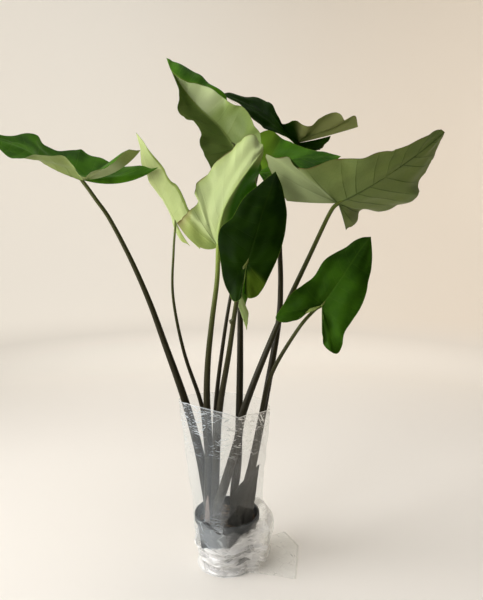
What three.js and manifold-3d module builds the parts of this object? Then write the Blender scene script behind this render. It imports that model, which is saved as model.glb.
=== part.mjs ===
// Potted alocasia: nine arrow-shaped blades on long petioles, in a round nursery pot,
// standing in a clear florist's sleeve. Millimetres, +Z up.
// Origin: middle of the pot's underside. The plant is seen from its front looking along +Y.

import * as THREE from "three";
import { mergeVertices } from "three/addons/utils/BufferGeometryUtils.js";
import Module from "manifold-3d";

// ---- driving dimensions ----

const gap = 0.3;

const pot = {
  height: 135,
  rimRadius: 85,
  rimDrop: 16,
  rimLip: 3.4,
  baseRadius: 62.5,
  wall: 1.6,
  floor: 3,
  softEdge: 1.5,
  sides: 36,
  drainCount: 6,
  drainRadius: 5,
  drainCircle: 44,
};

const soil = { level: 112, dome: 5, shoulderShare: 0.6, shoulderRise: 0.7 };

const blade = { thickness: 1, rows: 20, columns: 3 };

const petiole = { sides: 8, steps: 18, footLength: 0.14, footShare: 0.55, taper: 1.5, overshoot: 3 };

const drySheath = { thickness: 1.2, rows: 8, columns: 4 };

const sleeve = { thickness: 0.8, columns: 40, cornerFrom: -32, cornerTo: 40, cornerEdge: 10 };

const finish = {
  bladeGreen: { color: 0x2f5a1c, roughness: 0.45, metalness: 0 },
  petioleBrown: { color: 0x3a352b, roughness: 0.5, metalness: 0 },
  petioleGreen: { color: 0x5c7040, roughness: 0.5, metalness: 0 },
  potBlack: { color: 0x24272a, roughness: 0.6, metalness: 0 },
  soilBrown: { color: 0x3b2c20, roughness: 1, metalness: 0 },
  drySheath: { color: 0x5b4a38, roughness: 0.8, metalness: 0 },
  clearFilm: { color: 0xe6ebec, roughness: 0.2, metalness: 0, transparent: true, opacity: 0.3 },
};

// Each leaf: its midrib from the junction to the tip, and its left and right margins (looking from
// above with the tip ahead) from the end of the basal lobe to near the tip. leftFan and rightFan say
// how many margin points the ribs reach straight from the junction. A bow lifts the middle of each
// rib by that share of its length. A crest is where the middle of one rib passes, by margin index.
// stem holds the petiole's middle line from soil to junction; its radii are at the swollen foot and
// at the junction.

const leaves = [
  {
    midrib: [[-341, -40, 985], [-383, -62, 1001], [-414, -85, 1018], [-438, -105, 1039],
      [-471, -130, 1052], [-513, -150, 1062]],
    left: [[-196, -66, 1050], [-216, -90, 1044], [-237, -110, 1026], [-250, -122, 1012],
      [-267, -134, 998], [-286, -144, 987], [-302, -150, 981], [-316, -154, 985], [-328, -156, 1002],
      [-348, -160, 1021], [-375, -165, 1024], [-399, -170, 1019], [-427, -175, 1013],
      [-450, -175, 1016], [-471, -170, 1029]],
    right: [[-163, -25, 1016], [-189, 0, 1020], [-227, 30, 1026], [-264, 52, 1031], [-294, 70, 1043],
      [-321, 76, 1051], [-348, 72, 1059], [-369, 65, 1075], [-388, 60, 1072], [-427, 40, 1065],
      [-447, 20, 1079], [-460, 0, 1097], [-485, -30, 1092], [-498, -65, 1082], [-507, -110, 1078]],
    leftFan: 9, rightFan: 6, leftBow: 0, rightBow: -0.05,
    leftCrest: { 0: [-259, -60, 1000] }, rightCrest: { 0: [-253, -14, 981] },
    stem: [[-52, 12, 88], [-54, 12, 170], [-72, 8, 290], [-107, -8, 437], [-157, -20, 595],
      [-191, -26, 696], [-231, -31, 794], [-279, -35, 891], [-310, -38, 938]],
    footRadius: 14.5, topRadius: 4.6,
  },
  {
    midrib: [[-128, 25, 889], [-149, 22, 931], [-174, 22, 978], [-200, 28, 1037], [-228, 45, 1113]],
    left: [[-67, 15, 821], [-55, 0, 854], [-75, -8, 887], [-90, -16, 914], [-100, -24, 942],
      [-114, -33, 969], [-131, -30, 984], [-147, -25, 1010], [-159, -18, 1027], [-186, 0, 1060],
      [-211, 26, 1093]],
    right: [[-96, 60, 828], [-121, 72, 844], [-142, 80, 881], [-155, 82, 928], [-172, 76, 963],
      [-190, 66, 980], [-206, 60, 1007], [-218, 62, 1038], [-221, 60, 1075]],
    leftFan: 3, rightFan: 3, leftBow: -0.03, rightBow: -0.03,
    stem: [[-44, 30, 88], [-48, 34, 180], [-61, 34, 359], [-71, 30, 427], [-111, 24, 555],
      [-137, 20, 701], [-134, 22, 818]],
    footRadius: 9, topRadius: 2.8,
  },
  {
    midrib: [[21, 100, 1085], [-18, 95, 1135], [-59, 85, 1173], [-94, 75, 1207], [-123, 68, 1245],
      [-151, 62, 1299]],
    left: [[70, 70, 1041], [88, 60, 1072], [85, 55, 1104], [75, 55, 1129], [62, 58, 1151],
      [44, 62, 1177], [19, 66, 1188], [-11, 62, 1204], [-40, 40, 1220], [-74, 28, 1228],
      [-108, 25, 1232], [-136, 36, 1261]],
    right: [[-6, 35, 989], [-36, 28, 1013], [-53, 30, 1050], [-62, 32, 1077], [-68, 34, 1097],
      [-64, 34, 1117], [-80, 34, 1138], [-105, 30, 1142], [-116, 32, 1162], [-119, 38, 1193],
      [-121, 48, 1222], [-137, 58, 1264]],
    leftFan: 4, rightFan: 4, leftBow: 0.04, rightBow: 0.05,
    leftCrest: { 7: [1, 72, 1197], 8: [-37, 70, 1233], 9: [-65, 66, 1259], 10: [-99, 60, 1275],
      11: [-135, 58, 1291] },
    stem: [[14, 10, 88], [18, 12, 173], [29, 20, 266], [33, 36, 424], [35, 62, 660], [35, 82, 870],
      [31, 95, 1001]],
    footRadius: 13.5, topRadius: 5,
  },
  {
    midrib: [[-18, -55, 826], [-14, -72, 870], [0, -86, 918], [28, -95, 965], [60, -88, 1010],
      [89, -66, 1051]],
    left: [[51, -52, 623], [56, -44, 646], [47, -36, 675], [61, -26, 711], [84, -8, 774],
      [90, 2, 843], [86, 4, 905], [80, -2, 951], [77, -12, 986], [80, -26, 1013], [88, -46, 1034]],
    right: [[-116, -50, 883], [-99, -50, 900], [-83, -50, 914], [-67, -50, 935], [-71, -50, 961],
      [-67, -42, 982], [-41, -45, 1004], [-8, -48, 1034], [18, -50, 1061], [42, -52, 1080],
      [68, -54, 1084], [86, -58, 1068]],
    leftFan: 5, rightFan: 4, leftBow: -0.04, rightBow: -0.05,
    rightCrest: { 0: [-65, -64, 828] },
    stem: [[-48, -6, 88], [-47, -9, 180], [-46, -20, 336], [-49, -28, 443], [-45, -36, 547],
      [-34, -43, 648], [-21, -50, 747]],
    footRadius: 13.5, topRadius: 5.5, greenStem: true,
  },
  {
    midrib: [[50, -150, 791], [68, -150, 848], [85, -140, 905], [104, -124, 957], [115, -104, 996]],
    left: [[39, -180, 727], [34, -180, 712], [21, -174, 708], [10, -164, 724], [-2, -150, 754],
      [-9, -140, 793], [-15, -130, 835], [-7, -124, 871], [17, -118, 894], [41, -114, 932],
      [78, -106, 968]],
    right: [[44, -170, 725], [55, -176, 715], [72, -176, 720], [85, -172, 736], [95, -166, 755],
      [112, -156, 789], [128, -146, 831], [138, -136, 873], [137, -126, 917], [130, -116, 960]],
    leftFan: 6, rightFan: 6, leftBow: 0.05, rightBow: 0.05,
    stem: [[-30, -18, 88], [-30, -30, 190], [-23, -54, 347], [-12, -74, 456], [9, -104, 581],
      [26, -132, 700], [41, -149, 771]],
    footRadius: 13, topRadius: 4.8,
  },
  {
    midrib: [[82, 100, 1023], [133, 84, 1046], [183, 62, 1052], [235, 36, 1051], [283, 8, 1048]],
    left: [[39, 150, 1083], [67, 165, 1123], [97, 160, 1141], [123, 148, 1137], [152, 128, 1113],
      [190, 104, 1091], [235, 66, 1071], [265, 34, 1059]],
    right: [[103, 45, 978], [127, 20, 992], [157, 4, 1000], [191, -4, 1005], [229, -6, 1017],
      [262, -2, 1032]],
    leftFan: 3, rightFan: 2, leftBow: -0.04, rightBow: 0.06,
    stem: [[-31, 9, 88], [-30, 16, 181], [-32, 22, 319], [-28, 22, 428], [-12, 20, 561],
      [10, 20, 699], [42, 40, 856], [68, 75, 958]],
    footRadius: 8, topRadius: 3.2,
  },
  {
    midrib: [[265, -60, 929], [309, -74, 951], [367, -80, 985], [436, -76, 1033], [509, -64, 1091]],
    left: [[296, -10, 865], [323, 0, 888], [335, 8, 917], [379, 14, 915], [427, 14, 927],
      [459, 6, 937], [473, -6, 960], [474, -16, 988], [491, -32, 1030], [504, -50, 1067]],
    right: [[143, -62, 934], [114, -72, 979], [92, -80, 1036], [117, -84, 1029], [144, -88, 1031],
      [155, -92, 1010], [178, -94, 1005], [200, -96, 1010], [240, -100, 1024], [278, -102, 1026],
      [314, -104, 1028], [347, -104, 1039], [387, -100, 1046], [422, -94, 1061], [463, -84, 1082],
      [492, -72, 1096]],
    leftFan: 3, rightFan: 7, leftBow: -0.05, rightBow: -0.05,
    stem: [[-24, -36, 88], [-22, -46, 170], [-2, -52, 240], [27, -50, 341], [47, -46, 433],
      [129, -46, 644], [202, -52, 807], [247, -58, 906]],
    footRadius: 13.5, topRadius: 4.8,
  },
  {
    midrib: [[200, 205, 1118], [157, 196, 1147], [95, 186, 1194], [37, 180, 1223], [-18, 176, 1243]],
    left: [[289, 198, 1136], [276, 180, 1113], [250, 168, 1088], [205, 165, 1090], [155, 162, 1127],
      [116, 154, 1142], [87, 150, 1152], [62, 152, 1180], [37, 158, 1206], [7, 168, 1227]],
    right: [[366, 196, 1160], [354, 186, 1188], [324, 180, 1175], [315, 174, 1187], [289, 168, 1192],
      [247, 164, 1176], [232, 170, 1158], [207, 170, 1159], [184, 176, 1174], [154, 196, 1170],
      [139, 216, 1197], [126, 232, 1231], [94, 236, 1244], [50, 224, 1251], [11, 204, 1256]],
    leftFan: 3, rightFan: 8, leftBow: -0.05, rightBow: -0.03,
    stem: [[42, 14, 88], [50, 16, 186], [68, 18, 262], [93, 12, 400], [134, 56, 614],
      [143, 90, 727], [143, 130, 858], [156, 166, 983], [183, 193, 1074]],
    footRadius: 13.5, topRadius: 5,
  },
  {
    midrib: [[224, -110, 693], [256, -118, 742], [287, -116, 788], [312, -104, 822], [339, -84, 850]],
    left: [[195, -112, 685], [174, -111, 665], [155, -108, 654], [137, -104, 651], [120, -101, 657],
      [119, -100, 668], [135, -100, 694], [155, -104, 720], [181, -100, 740], [206, -96, 759],
      [225, -92, 787], [254, -86, 812], [287, -80, 831], [317, -78, 847]],
    right: [[220, -140, 633], [224, -144, 607], [238, -148, 592], [254, -150, 587], [264, -150, 604],
      [270, -150, 636], [285, -148, 660], [304, -142, 687], [321, -134, 728], [332, -120, 772],
      [338, -102, 815]],
    leftFan: 9, rightFan: 6, leftBow: 0.05, rightBow: 0.05,
    stem: [[46, -10, 88], [54, -15, 190], [72, -20, 283], [95, -26, 440], [118, -52, 530],
      [171, -84, 631], [208, -90, 677]],
    footRadius: 9.5, topRadius: 4,
  },
];

// ---- solids: joins and cuts ----

const wasm = await Module();
wasm.setup();

// A closed mesh as a solid that can be joined and cut.
function solidOf(geometry) {
  const bare = geometry.clone();
  bare.deleteAttribute("normal");
  bare.deleteAttribute("uv");
  const merged = mergeVertices(bare, 1e-3);
  return new wasm.Manifold(new wasm.Mesh({
    numProp: 3,
    vertProperties: new Float32Array(merged.attributes.position.array),
    triVerts: new Uint32Array(merged.index.array),
  }));
}

function geometryOf(solid) {
  const mesh = solid.getMesh();
  const geometry = new THREE.BufferGeometry();
  geometry.setAttribute("position", new THREE.BufferAttribute(mesh.vertProperties, mesh.numProp));
  geometry.setIndex(new THREE.BufferAttribute(mesh.triVerts, 1));
  return geometry;
}

// The largest body of a solid that a cut has left in pieces.
function largestBody(solid) {
  return solid.decompose().reduce((best, body) => (body.volume() > best.volume() ? body : best));
}

// ---- thin sheets ----

const vector = (point) => new THREE.Vector3(...point);

const smoothCurve = (points) => new THREE.CatmullRomCurve3(points.map(vector), false, "catmullrom", 0.5);

// A closed sheet: the surface through a grid of points, thickened to both sides along its normals.
// Both faces are split into the same triangles. Points that coincide are one point.
function thickSheet(rowsOfPoints, thickness) {
  const columns = rowsOfPoints[0].length;
  const open = new THREE.BufferGeometry();
  open.setAttribute("position", new THREE.Float32BufferAttribute(
    rowsOfPoints.flat().flatMap((point) => point.toArray()), 3));
  const cells = [];
  for (let row = 0; row + 1 < rowsOfPoints.length; row += 1) {
    for (let column = 0; column + 1 < columns; column += 1) {
      const corner = row * columns + column;
      cells.push(corner, corner + 1, corner + columns + 1, corner, corner + columns + 1, corner + columns);
    }
  }
  open.setIndex(cells);
  const surface = mergeVertices(open, 1e-3);
  const triangles = [];
  for (let i = 0; i < surface.index.count; i += 3) {
    const [a, b, c] = [surface.index.getX(i), surface.index.getX(i + 1), surface.index.getX(i + 2)];
    if (a !== b && b !== c && c !== a) triangles.push([a, b, c]);
  }
  surface.setIndex(triangles.flat());
  surface.computeVertexNormals();

  const { position, normal } = surface.attributes;
  const count = position.count;
  const vertices = [];
  for (const side of [0.5, -0.5]) {
    for (let i = 0; i < count; i += 1) {
      const offset = new THREE.Vector3().fromBufferAttribute(normal, i).multiplyScalar(side * thickness);
      vertices.push(...new THREE.Vector3().fromBufferAttribute(position, i).add(offset).toArray());
    }
  }
  const edges = new Set(triangles.flatMap(([a, b, c]) => [`${a},${b}`, `${b},${c}`, `${c},${a}`]));
  const index = triangles.flatMap(([a, b, c]) => [a, b, c, a + count, c + count, b + count]);
  for (const edge of edges) {
    const [from, to] = edge.split(",").map(Number);
    if (!edges.has(`${to},${from}`)) index.push(from, from + count, to + count, from, to + count, to);
  }
  const sheet = new THREE.BufferGeometry();
  sheet.setAttribute("position", new THREE.Float32BufferAttribute(vertices, 3));
  sheet.setIndex(index);
  return sheet;
}

// ---- leaves ----

// One half of a blade: rows of points from the midrib to a margin. Each rib starts on the midrib,
// or at the junction for the basal lobe, and bends over the crest to the margin.
function bladeHalf(leaf, margin, fan, bow, crests, upward) {
  const midrib = smoothCurve(leaf.midrib);
  const last = margin.length;
  const edge = smoothCurve([...margin, leaf.midrib.at(-1)]);
  const spineShare = (index) => Math.max(0, (index - fan) / (last - fan));
  const marked = Array.from({ length: last + 1 }, (_, index) => {
    if (!crests[index]) return { lift: new THREE.Vector3(), weight: 0 };
    const end = index < last ? vector(margin[index]) : vector(leaf.midrib.at(-1));
    const middle = midrib.getPoint(spineShare(index)).add(end).multiplyScalar(0.5);
    return { lift: vector(crests[index]).sub(middle), weight: 1 };
  });
  const liftCurve = new THREE.CatmullRomCurve3(marked.map((mark) => mark.lift), false, "catmullrom", 0.5);
  const weightCurve = new THREE.CatmullRomCurve3(
    marked.map((mark) => new THREE.Vector3(mark.weight, 0, 0)), false, "catmullrom", 0.5);

  const rows = [];
  for (let row = 0; row <= blade.rows; row += 1) {
    const share = row / blade.rows;
    const start = midrib.getPoint(spineShare(share * last));
    const end = edge.getPoint(share);
    const rib = end.clone().sub(start);
    const along = rib.clone().normalize();
    const normal = upward.clone().addScaledVector(along, -upward.dot(along)).normalize();
    const ownBow = normal.multiplyScalar(bow * rib.length() * (1 - weightCurve.getPoint(share).x));
    const bulge = ownBow.add(liftCurve.getPoint(share));
    const points = [];
    for (let column = 0; column <= blade.columns; column += 1) {
      const t = column / blade.columns;
      points.push(start.clone().lerp(end, t).addScaledVector(bulge, 4 * t * (1 - t)));
    }
    rows.push(points);
  }
  return rows;
}

function bladeGeometry(leaf, thickness) {
  const junction = vector(leaf.midrib[0]);
  const forward = vector(leaf.midrib.at(-1)).sub(junction);
  const middleOf = (points) => points.reduce((sum, point) => sum.add(vector(point)), new THREE.Vector3())
    .divideScalar(points.length);
  const across = middleOf(leaf.left.slice(1)).sub(middleOf(leaf.right.slice(1)));
  const upward = forward.cross(across).normalize();
  const left = bladeHalf(leaf, leaf.left, leaf.leftFan, leaf.leftBow, leaf.leftCrest ?? {}, upward);
  const right = bladeHalf(leaf, leaf.right, leaf.rightFan, leaf.rightBow, leaf.rightCrest ?? {}, upward);
  const rows = left.map((points, row) => [...points.toReversed(), ...right[row].slice(1)]);
  return thickSheet(rows, thickness);
}

// Small moves over the blade's own plane, which widen a cut round its edges by the gap.
function aroundBlade(leaf) {
  const forward = vector(leaf.midrib[1]).sub(vector(leaf.midrib[0])).setLength(gap);
  const across = vector(leaf.left[0]).sub(vector(leaf.right[0])).setLength(gap);
  return [new THREE.Vector3(), forward, forward.clone().negate(), across, across.clone().negate()];
}

// A petiole: round, tapered along its curve, narrow where it leaves the soil, swollen just above.
function petioleGeometry(leaf, clearance) {
  const curve = smoothCurve([...leaf.stem, leaf.midrib[0]]);
  const frames = curve.computeFrenetFrames(petiole.steps, false);
  const geometry = new THREE.CylinderGeometry(1, 1, 1, petiole.sides, petiole.steps);
  const { position } = geometry.attributes;
  for (let i = 0; i < position.count; i += 1) {
    const share = position.getY(i) + 0.5;
    const step = Math.round(share * petiole.steps);
    const body = leaf.topRadius + (leaf.footRadius - leaf.topRadius) * (1 - share) ** petiole.taper;
    const foot = THREE.MathUtils.smoothstep(share, 0, petiole.footLength);
    const radius = body * THREE.MathUtils.lerp(petiole.footShare, 1, foot) + clearance;
    const ends = { 0: -clearance, [petiole.steps]: petiole.overshoot };
    const point = curve.getPointAt(share)
      .addScaledVector(frames.tangents[step], ends[step] ?? 0)
      .addScaledVector(frames.normals[step], position.getX(i) * radius)
      .addScaledVector(frames.binormals[step], -position.getZ(i) * radius);
    position.setXYZ(i, ...point.toArray());
  }
  return geometry;
}

// ---- dried sheaths of old leaves, standing at the foot of the clump ----

const drySheaths = [
  { // broad and three-cornered, its point leaning out to the right
    left: [[8, -30, 92], [16, -30, 130], [44, -34, 180], [80, -30, 252]],
    middle: [[34, -42, 92], [40, -42, 130], [58, -42, 180], [82, -32, 256]],
    right: [[60, -34, 92], [66, -32, 130], [72, -34, 180], [84, -32, 260]],
  },
  { // narrow, upright, in front of the left clump
    left: [[-55, -36, 92], [-56, -38, 130], [-53, -40, 170], [-49, -42, 196]],
    middle: [[-49, -40, 92], [-50, -42, 130], [-49, -44, 170], [-47, -44, 200]],
    right: [[-43, -42, 92], [-43, -44, 130], [-44, -46, 170], [-46, -46, 197]],
  },
];

// A sheath, or with a clearance the room it takes up in the soil.
function drySheathGeometry(shape, clearance) {
  const curves = [shape.left, shape.middle, shape.right].map(smoothCurve);
  const rows = [];
  for (let row = 0; row <= drySheath.rows; row += 1) {
    const [left, middle, right] = curves.map((curve) => curve.getPoint(row / drySheath.rows));
    const outward = right.clone().sub(left).normalize().multiplyScalar(clearance);
    const cross = new THREE.CatmullRomCurve3(
      [left.sub(outward), middle, right.add(outward)], false, "catmullrom", 0.5);
    rows.push(cross.getPoints(drySheath.columns));
  }
  rows[0].forEach((point) => { point.z -= clearance; });
  return thickSheet(rows, drySheath.thickness + 2 * clearance);
}

// ---- pot and soil ----

function potInnerRadius(z) {
  return THREE.MathUtils.mapLinear(z, 0, pot.height, pot.baseRadius, pot.rimRadius - pot.rimLip) - pot.wall;
}

function potGeometry() {
  const shoulder = pot.height - pot.rimDrop;
  const innerTop = potInnerRadius(pot.height);
  const soft = pot.softEdge;
  const profile = [
    [0, 0],
    [pot.baseRadius - soft, 0],
    [pot.baseRadius, soft],
    [potInnerRadius(shoulder) + pot.wall, shoulder],
    [pot.rimRadius - soft, shoulder],
    [pot.rimRadius, shoulder + soft],
    [pot.rimRadius, pot.height - soft],
    [pot.rimRadius - soft, pot.height],
    [innerTop + soft, pot.height],
    [innerTop, pot.height - soft],
    [potInnerRadius(pot.floor), pot.floor],
    [0, pot.floor],
  ];
  const shell = new THREE.LatheGeometry(profile.map(([r, z]) => new THREE.Vector2(r, z)), pot.sides);
  shell.rotateX(Math.PI / 2);
  let solid = solidOf(shell);
  for (let i = 0; i < pot.drainCount; i += 1) {
    const angle = (2 * Math.PI * i) / pot.drainCount;
    const drain = new THREE.CylinderGeometry(pot.drainRadius, pot.drainRadius, 3 * pot.floor, 10);
    drain.rotateX(Math.PI / 2);
    drain.translate(pot.drainCircle * Math.cos(angle), pot.drainCircle * Math.sin(angle), pot.floor / 2);
    solid = solid.subtract(solidOf(drain));
  }
  return geometryOf(solid);
}

// The soil fills the pot up to its level, slightly domed, with a plain hole for each stem and sheath.
function soilGeometry() {
  const under = pot.floor + gap;
  const profile = [
    [0, under],
    [potInnerRadius(under) - 2 * gap, under],
    [potInnerRadius(soil.level) - 2 * gap, soil.level],
    [potInnerRadius(soil.level) * soil.shoulderShare, soil.level + soil.shoulderRise * soil.dome],
    [0, soil.level + soil.dome],
  ];
  const body = new THREE.LatheGeometry(profile.map(([r, z]) => new THREE.Vector2(r, z)), pot.sides);
  body.rotateX(Math.PI / 2);
  let solid = solidOf(body);
  for (const leaf of leaves) solid = solid.subtract(solidOf(petioleGeometry(leaf, gap)));
  for (const shape of drySheaths) solid = solid.subtract(solidOf(drySheathGeometry(shape, gap)));
  return geometryOf(solid);
}

// ---- clear sleeve ----

// Heights down the film with its middle, half width and half depth there. Beside the pot it is loose
// folds; on the right it swings out by "swing" and ends in a flat corner that lies on the floor.
const film = [
  { z: 428, middle: -5, width: 117, depth: 106, ripple: 1.5, swing: 0 },
  { z: 386, middle: -4, width: 113, depth: 102, ripple: 2, swing: 0 },
  { z: 340, middle: -2, width: 109, depth: 98, ripple: 2.5, swing: 0 },
  { z: 298, middle: -2, width: 104, depth: 92, ripple: 2.5, swing: 0 },
  { z: 256, middle: -1, width: 99, depth: 91, ripple: 2, swing: 0 },
  { z: 210, middle: 0, width: 94, depth: 90, ripple: 1.5, swing: 0 },
  { z: 170, middle: 0, width: 90, depth: 89, ripple: 0.8, swing: 3 },
  { z: 140, middle: 0, width: 88, depth: 88, ripple: 0.6, swing: 18 },
  { z: 116, middle: 0, width: 88, depth: 88, ripple: 0.8, swing: 34 },
  { z: 96, middle: 0, width: 85, depth: 85, ripple: 2.5, swing: 42 },
  { z: 76, middle: 0, width: 79, depth: 79, ripple: 3, swing: 38 },
  { z: 60, middle: 0, width: 82, depth: 82, ripple: 3, swing: 34 },
  { z: 44, middle: 0, width: 74, depth: 74, ripple: 2.5, swing: 36 },
  { z: 30, middle: 0, width: 78, depth: 78, ripple: 3, swing: 36 },
  { z: 16, middle: 0, width: 71, depth: 71, ripple: 2, swing: 44 },
  { z: 6, middle: 0, width: 76, depth: 76, ripple: 3, swing: 50 },
  { z: 0.6, middle: 0, width: 74, depth: 74, ripple: 3, swing: 70 },
  { z: 0.6, middle: 0, width: 80, depth: 80, ripple: 4, swing: 110 },
];

// From 0 to 1 and back to 0 again across the corner, by degrees round the film.
function cornerShare(degrees) {
  const turned = degrees > 180 ? degrees - 360 : degrees;
  const soft = sleeve.cornerEdge;
  const stepAt = (edge) => THREE.MathUtils.smoothstep(turned, edge - soft, edge + soft);
  return stepAt(sleeve.cornerFrom) - stepAt(sleeve.cornerTo);
}

function sleeveGeometry() {
  const rows = film.map((ring) => {
    const points = [];
    for (let column = 0; column <= sleeve.columns; column += 1) {
      const degrees = (360 * (column % sleeve.columns)) / sleeve.columns;
      const angle = THREE.MathUtils.degToRad(degrees);
      const inCorner = cornerShare(degrees);
      const waves = Math.sin(5 * angle + ring.z / 30) + Math.sin(9 * angle - ring.z / 17);
      const ripple = (ring.ripple * waves) / 2;
      const out = ripple + ring.swing * inCorner;
      points.push(new THREE.Vector3(
        ring.middle + (ring.width + out) * Math.cos(angle),
        (ring.depth + out) * Math.sin(angle),
        ring.z,
      ));
    }
    return points;
  });
  return thickSheet(rows, sleeve.thickness);
}

// ---- the plant in its pot ----

const plant = new THREE.Group();

function place(name, geometry, look) {
  const mesh = new THREE.Mesh(geometry, new THREE.MeshStandardMaterial(look));
  mesh.name = name;
  plant.add(mesh);
}

place("nursery_pot", potGeometry(), finish.potBlack);
place("potting_soil", soilGeometry(), finish.soilBrown);

// Each petiole ends just short of its blade.
leaves.forEach((leaf, index) => {
  const room = solidOf(bladeGeometry(leaf, blade.thickness + 2 * gap));
  let stem = solidOf(petioleGeometry(leaf, 0));
  for (const shift of aroundBlade(leaf)) stem = stem.subtract(room.translate(shift.toArray()));
  const stemLook = leaf.greenStem ? finish.petioleGreen : finish.petioleBrown;
  place(`petiole_${index + 1}`, geometryOf(largestBody(stem)), stemLook);
  place(`blade_${index + 1}`, bladeGeometry(leaf, blade.thickness), finish.bladeGreen);
});

drySheaths.forEach((shape, index) => {
  place(`dry_sheath_${index + 1}`, drySheathGeometry(shape, 0), finish.drySheath);
});

place("clear_sleeve", sleeveGeometry(), finish.clearFilm);

export default plant;
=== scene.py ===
# Potted alocasia: the finish of every surface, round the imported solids. Metres, +Z up.
import math

import bmesh
import bpy
import numpy as np
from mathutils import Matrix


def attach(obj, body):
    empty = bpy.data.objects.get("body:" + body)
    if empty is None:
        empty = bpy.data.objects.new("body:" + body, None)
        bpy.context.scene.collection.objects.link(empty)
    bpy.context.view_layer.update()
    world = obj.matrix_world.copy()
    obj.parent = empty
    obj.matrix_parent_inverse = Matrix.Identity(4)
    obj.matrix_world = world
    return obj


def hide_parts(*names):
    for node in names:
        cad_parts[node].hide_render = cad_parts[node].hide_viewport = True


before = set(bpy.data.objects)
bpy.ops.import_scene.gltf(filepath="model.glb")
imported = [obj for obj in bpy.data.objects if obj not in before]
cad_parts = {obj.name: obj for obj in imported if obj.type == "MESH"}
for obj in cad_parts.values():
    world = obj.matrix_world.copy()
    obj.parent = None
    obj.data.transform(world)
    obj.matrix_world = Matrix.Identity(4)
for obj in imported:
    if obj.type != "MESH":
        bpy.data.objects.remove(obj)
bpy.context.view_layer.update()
mm = 0.001


def throughPoints(points, shares):
    # Catmull-Rom: a cubic between each two points, heading along the chord of their neighbours
    points = np.asarray(points, float)
    points = np.vstack([2 * points[0] - points[1], points, 2 * points[-1] - points[-2]])
    place = np.clip(shares, 0, 1) * (len(points) - 3)
    first = np.minimum(place.astype(int), len(points) - 4)
    u = (place - first)[..., None]
    a, b, c, d = (points[first + k] for k in range(4))
    return 0.5 * (2 * b + (c - a) * u + (2 * a - 5 * b + 4 * c - d) * u**2 + (3 * b - a - 3 * c + d) * u**3)


def unit(vectors):
    # each vector over its own length
    return vectors / np.maximum(np.linalg.norm(vectors, axis=-1, keepdims=True), 1e-12)


def smoothStep(low, high, values):
    # 0 below low, 1 above high, and 3x^2 - 2x^3 between
    x = np.clip((values - low) / (high - low), 0, 1)
    return x * x * (3 - 2 * x)


def circle(sides):
    # evenly spaced angles of one full turn
    return 2 * np.pi * np.arange(sides) / sides


def turned(reach, angle, z):
    # points round Z: (r cos a, r sin a, z)
    return np.stack(np.broadcast_arrays(reach * np.cos(angle), reach * np.sin(angle), z), axis=-1)


def gridQuads(rows, columns, closed=False):
    # corner numbers of a grid's cells, row after row; closed joins the last column to the first
    cells = columns if closed else columns - 1
    row, column = np.meshgrid(np.arange(rows - 1), np.arange(cells), indexing="ij")
    start, after = row * columns + column, row * columns + (column + 1) % columns
    return np.stack([start, after, after + columns, start + columns], axis=-1).reshape(-1, 4)


def closedSheet(front, back, pointed=False):
    # two grids of points as one body: the front, the back turned round, and a wall along their rims;
    # a pointed sheet ends in one point and needs no wall there
    rows, columns, _ = front.shape
    count = rows * columns
    across, down = np.arange(columns - 1), np.arange(rows - 1) * columns
    ring = np.concatenate([across, down + columns - 1, count - 1 - across, count - columns - down])
    after = np.roll(ring, -1)
    wall = np.stack([ring, ring + count, after + count, after], axis=-1)
    if pointed:
        wall = np.delete(wall, rows + columns - 2 + across, axis=0)
    cells = gridQuads(rows, columns)
    return (np.concatenate([front.reshape(-1, 3), back.reshape(-1, 3)]),
            np.concatenate([cells, cells[:, ::-1] + count, wall]))


def creasedHeights(x, y, seed, count=64):
    # Creased paper: planes through random heights at the corners of a lattice of triangles, which is
    # bent a little so that no crease runs straight. It repeats every count cells along x and y.
    heights = np.random.default_rng(seed).uniform(-1, 1, (count, count))
    x, y = x + 0.3 * np.sin(2.1 * y + seed), y + 0.3 * np.sin(2 * np.pi * x / count * 9 + seed)
    i, j = np.floor(x).astype(int), np.floor(y).astype(int)
    u, v = x - i, y - j
    at = lambda di, dj: heights[(i + di) % count, (j + dj) % count]
    near = at(0, 0) + (at(1, 0) - at(0, 0)) * u + (at(0, 1) - at(0, 0)) * v
    far = at(1, 1) + (at(0, 1) - at(1, 1)) * (1 - u) + (at(1, 0) - at(1, 1)) * (1 - v)
    return np.where(u + v < 1, near, far)


def newPiece(name, points, quads, materials, replaces=(), slots=None, numbers=None,
             sharpOver=50, merge=True):
    # A mesh object from points and faces. slots gives each face's material, and numbers the values
    # kept at each point: one for each point, or three for a colour.
    mesh = bpy.data.meshes.new(name)
    mesh.from_pydata(points.reshape(-1, 3), [], quads)
    for key, values in (numbers or {}).items():
        values = np.asarray(values, float)
        if values.size == len(mesh.vertices):
            mesh.attributes.new(key, "FLOAT", "POINT").data.foreach_set("value", values.ravel())
        else:
            colours = np.column_stack([values.reshape(-1, 3), np.ones(len(mesh.vertices))])
            mesh.attributes.new(key, "FLOAT_COLOR", "POINT").data.foreach_set("color", colours.ravel())
    for material in materials:
        mesh.materials.append(material)
    if slots is not None:
        mesh.polygons.foreach_set("material_index", np.asarray(slots, np.int32))
    if merge:
        mergeDoubles(mesh, 2e-6)
    mesh.polygons.foreach_set("use_smooth", np.ones(len(mesh.polygons), bool))
    mesh.set_sharp_from_angle(angle=math.radians(sharpOver))
    piece = newObject(name, mesh)
    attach(piece, "root")
    if replaces:
        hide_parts(*replaces)
    return piece


def mergeDoubles(mesh, distance):
    # one point where several stand together, and no faces without an area
    shape = bmesh.new()
    shape.from_mesh(mesh)
    bmesh.ops.remove_doubles(shape, verts=shape.verts, dist=distance)
    bmesh.ops.dissolve_degenerate(shape, edges=shape.edges, dist=1e-7)
    shape.to_mesh(mesh)
    shape.free()


def newObject(name, data):
    made = bpy.data.objects.new(name, data)
    bpy.context.scene.collection.objects.link(made)
    return made


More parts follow.
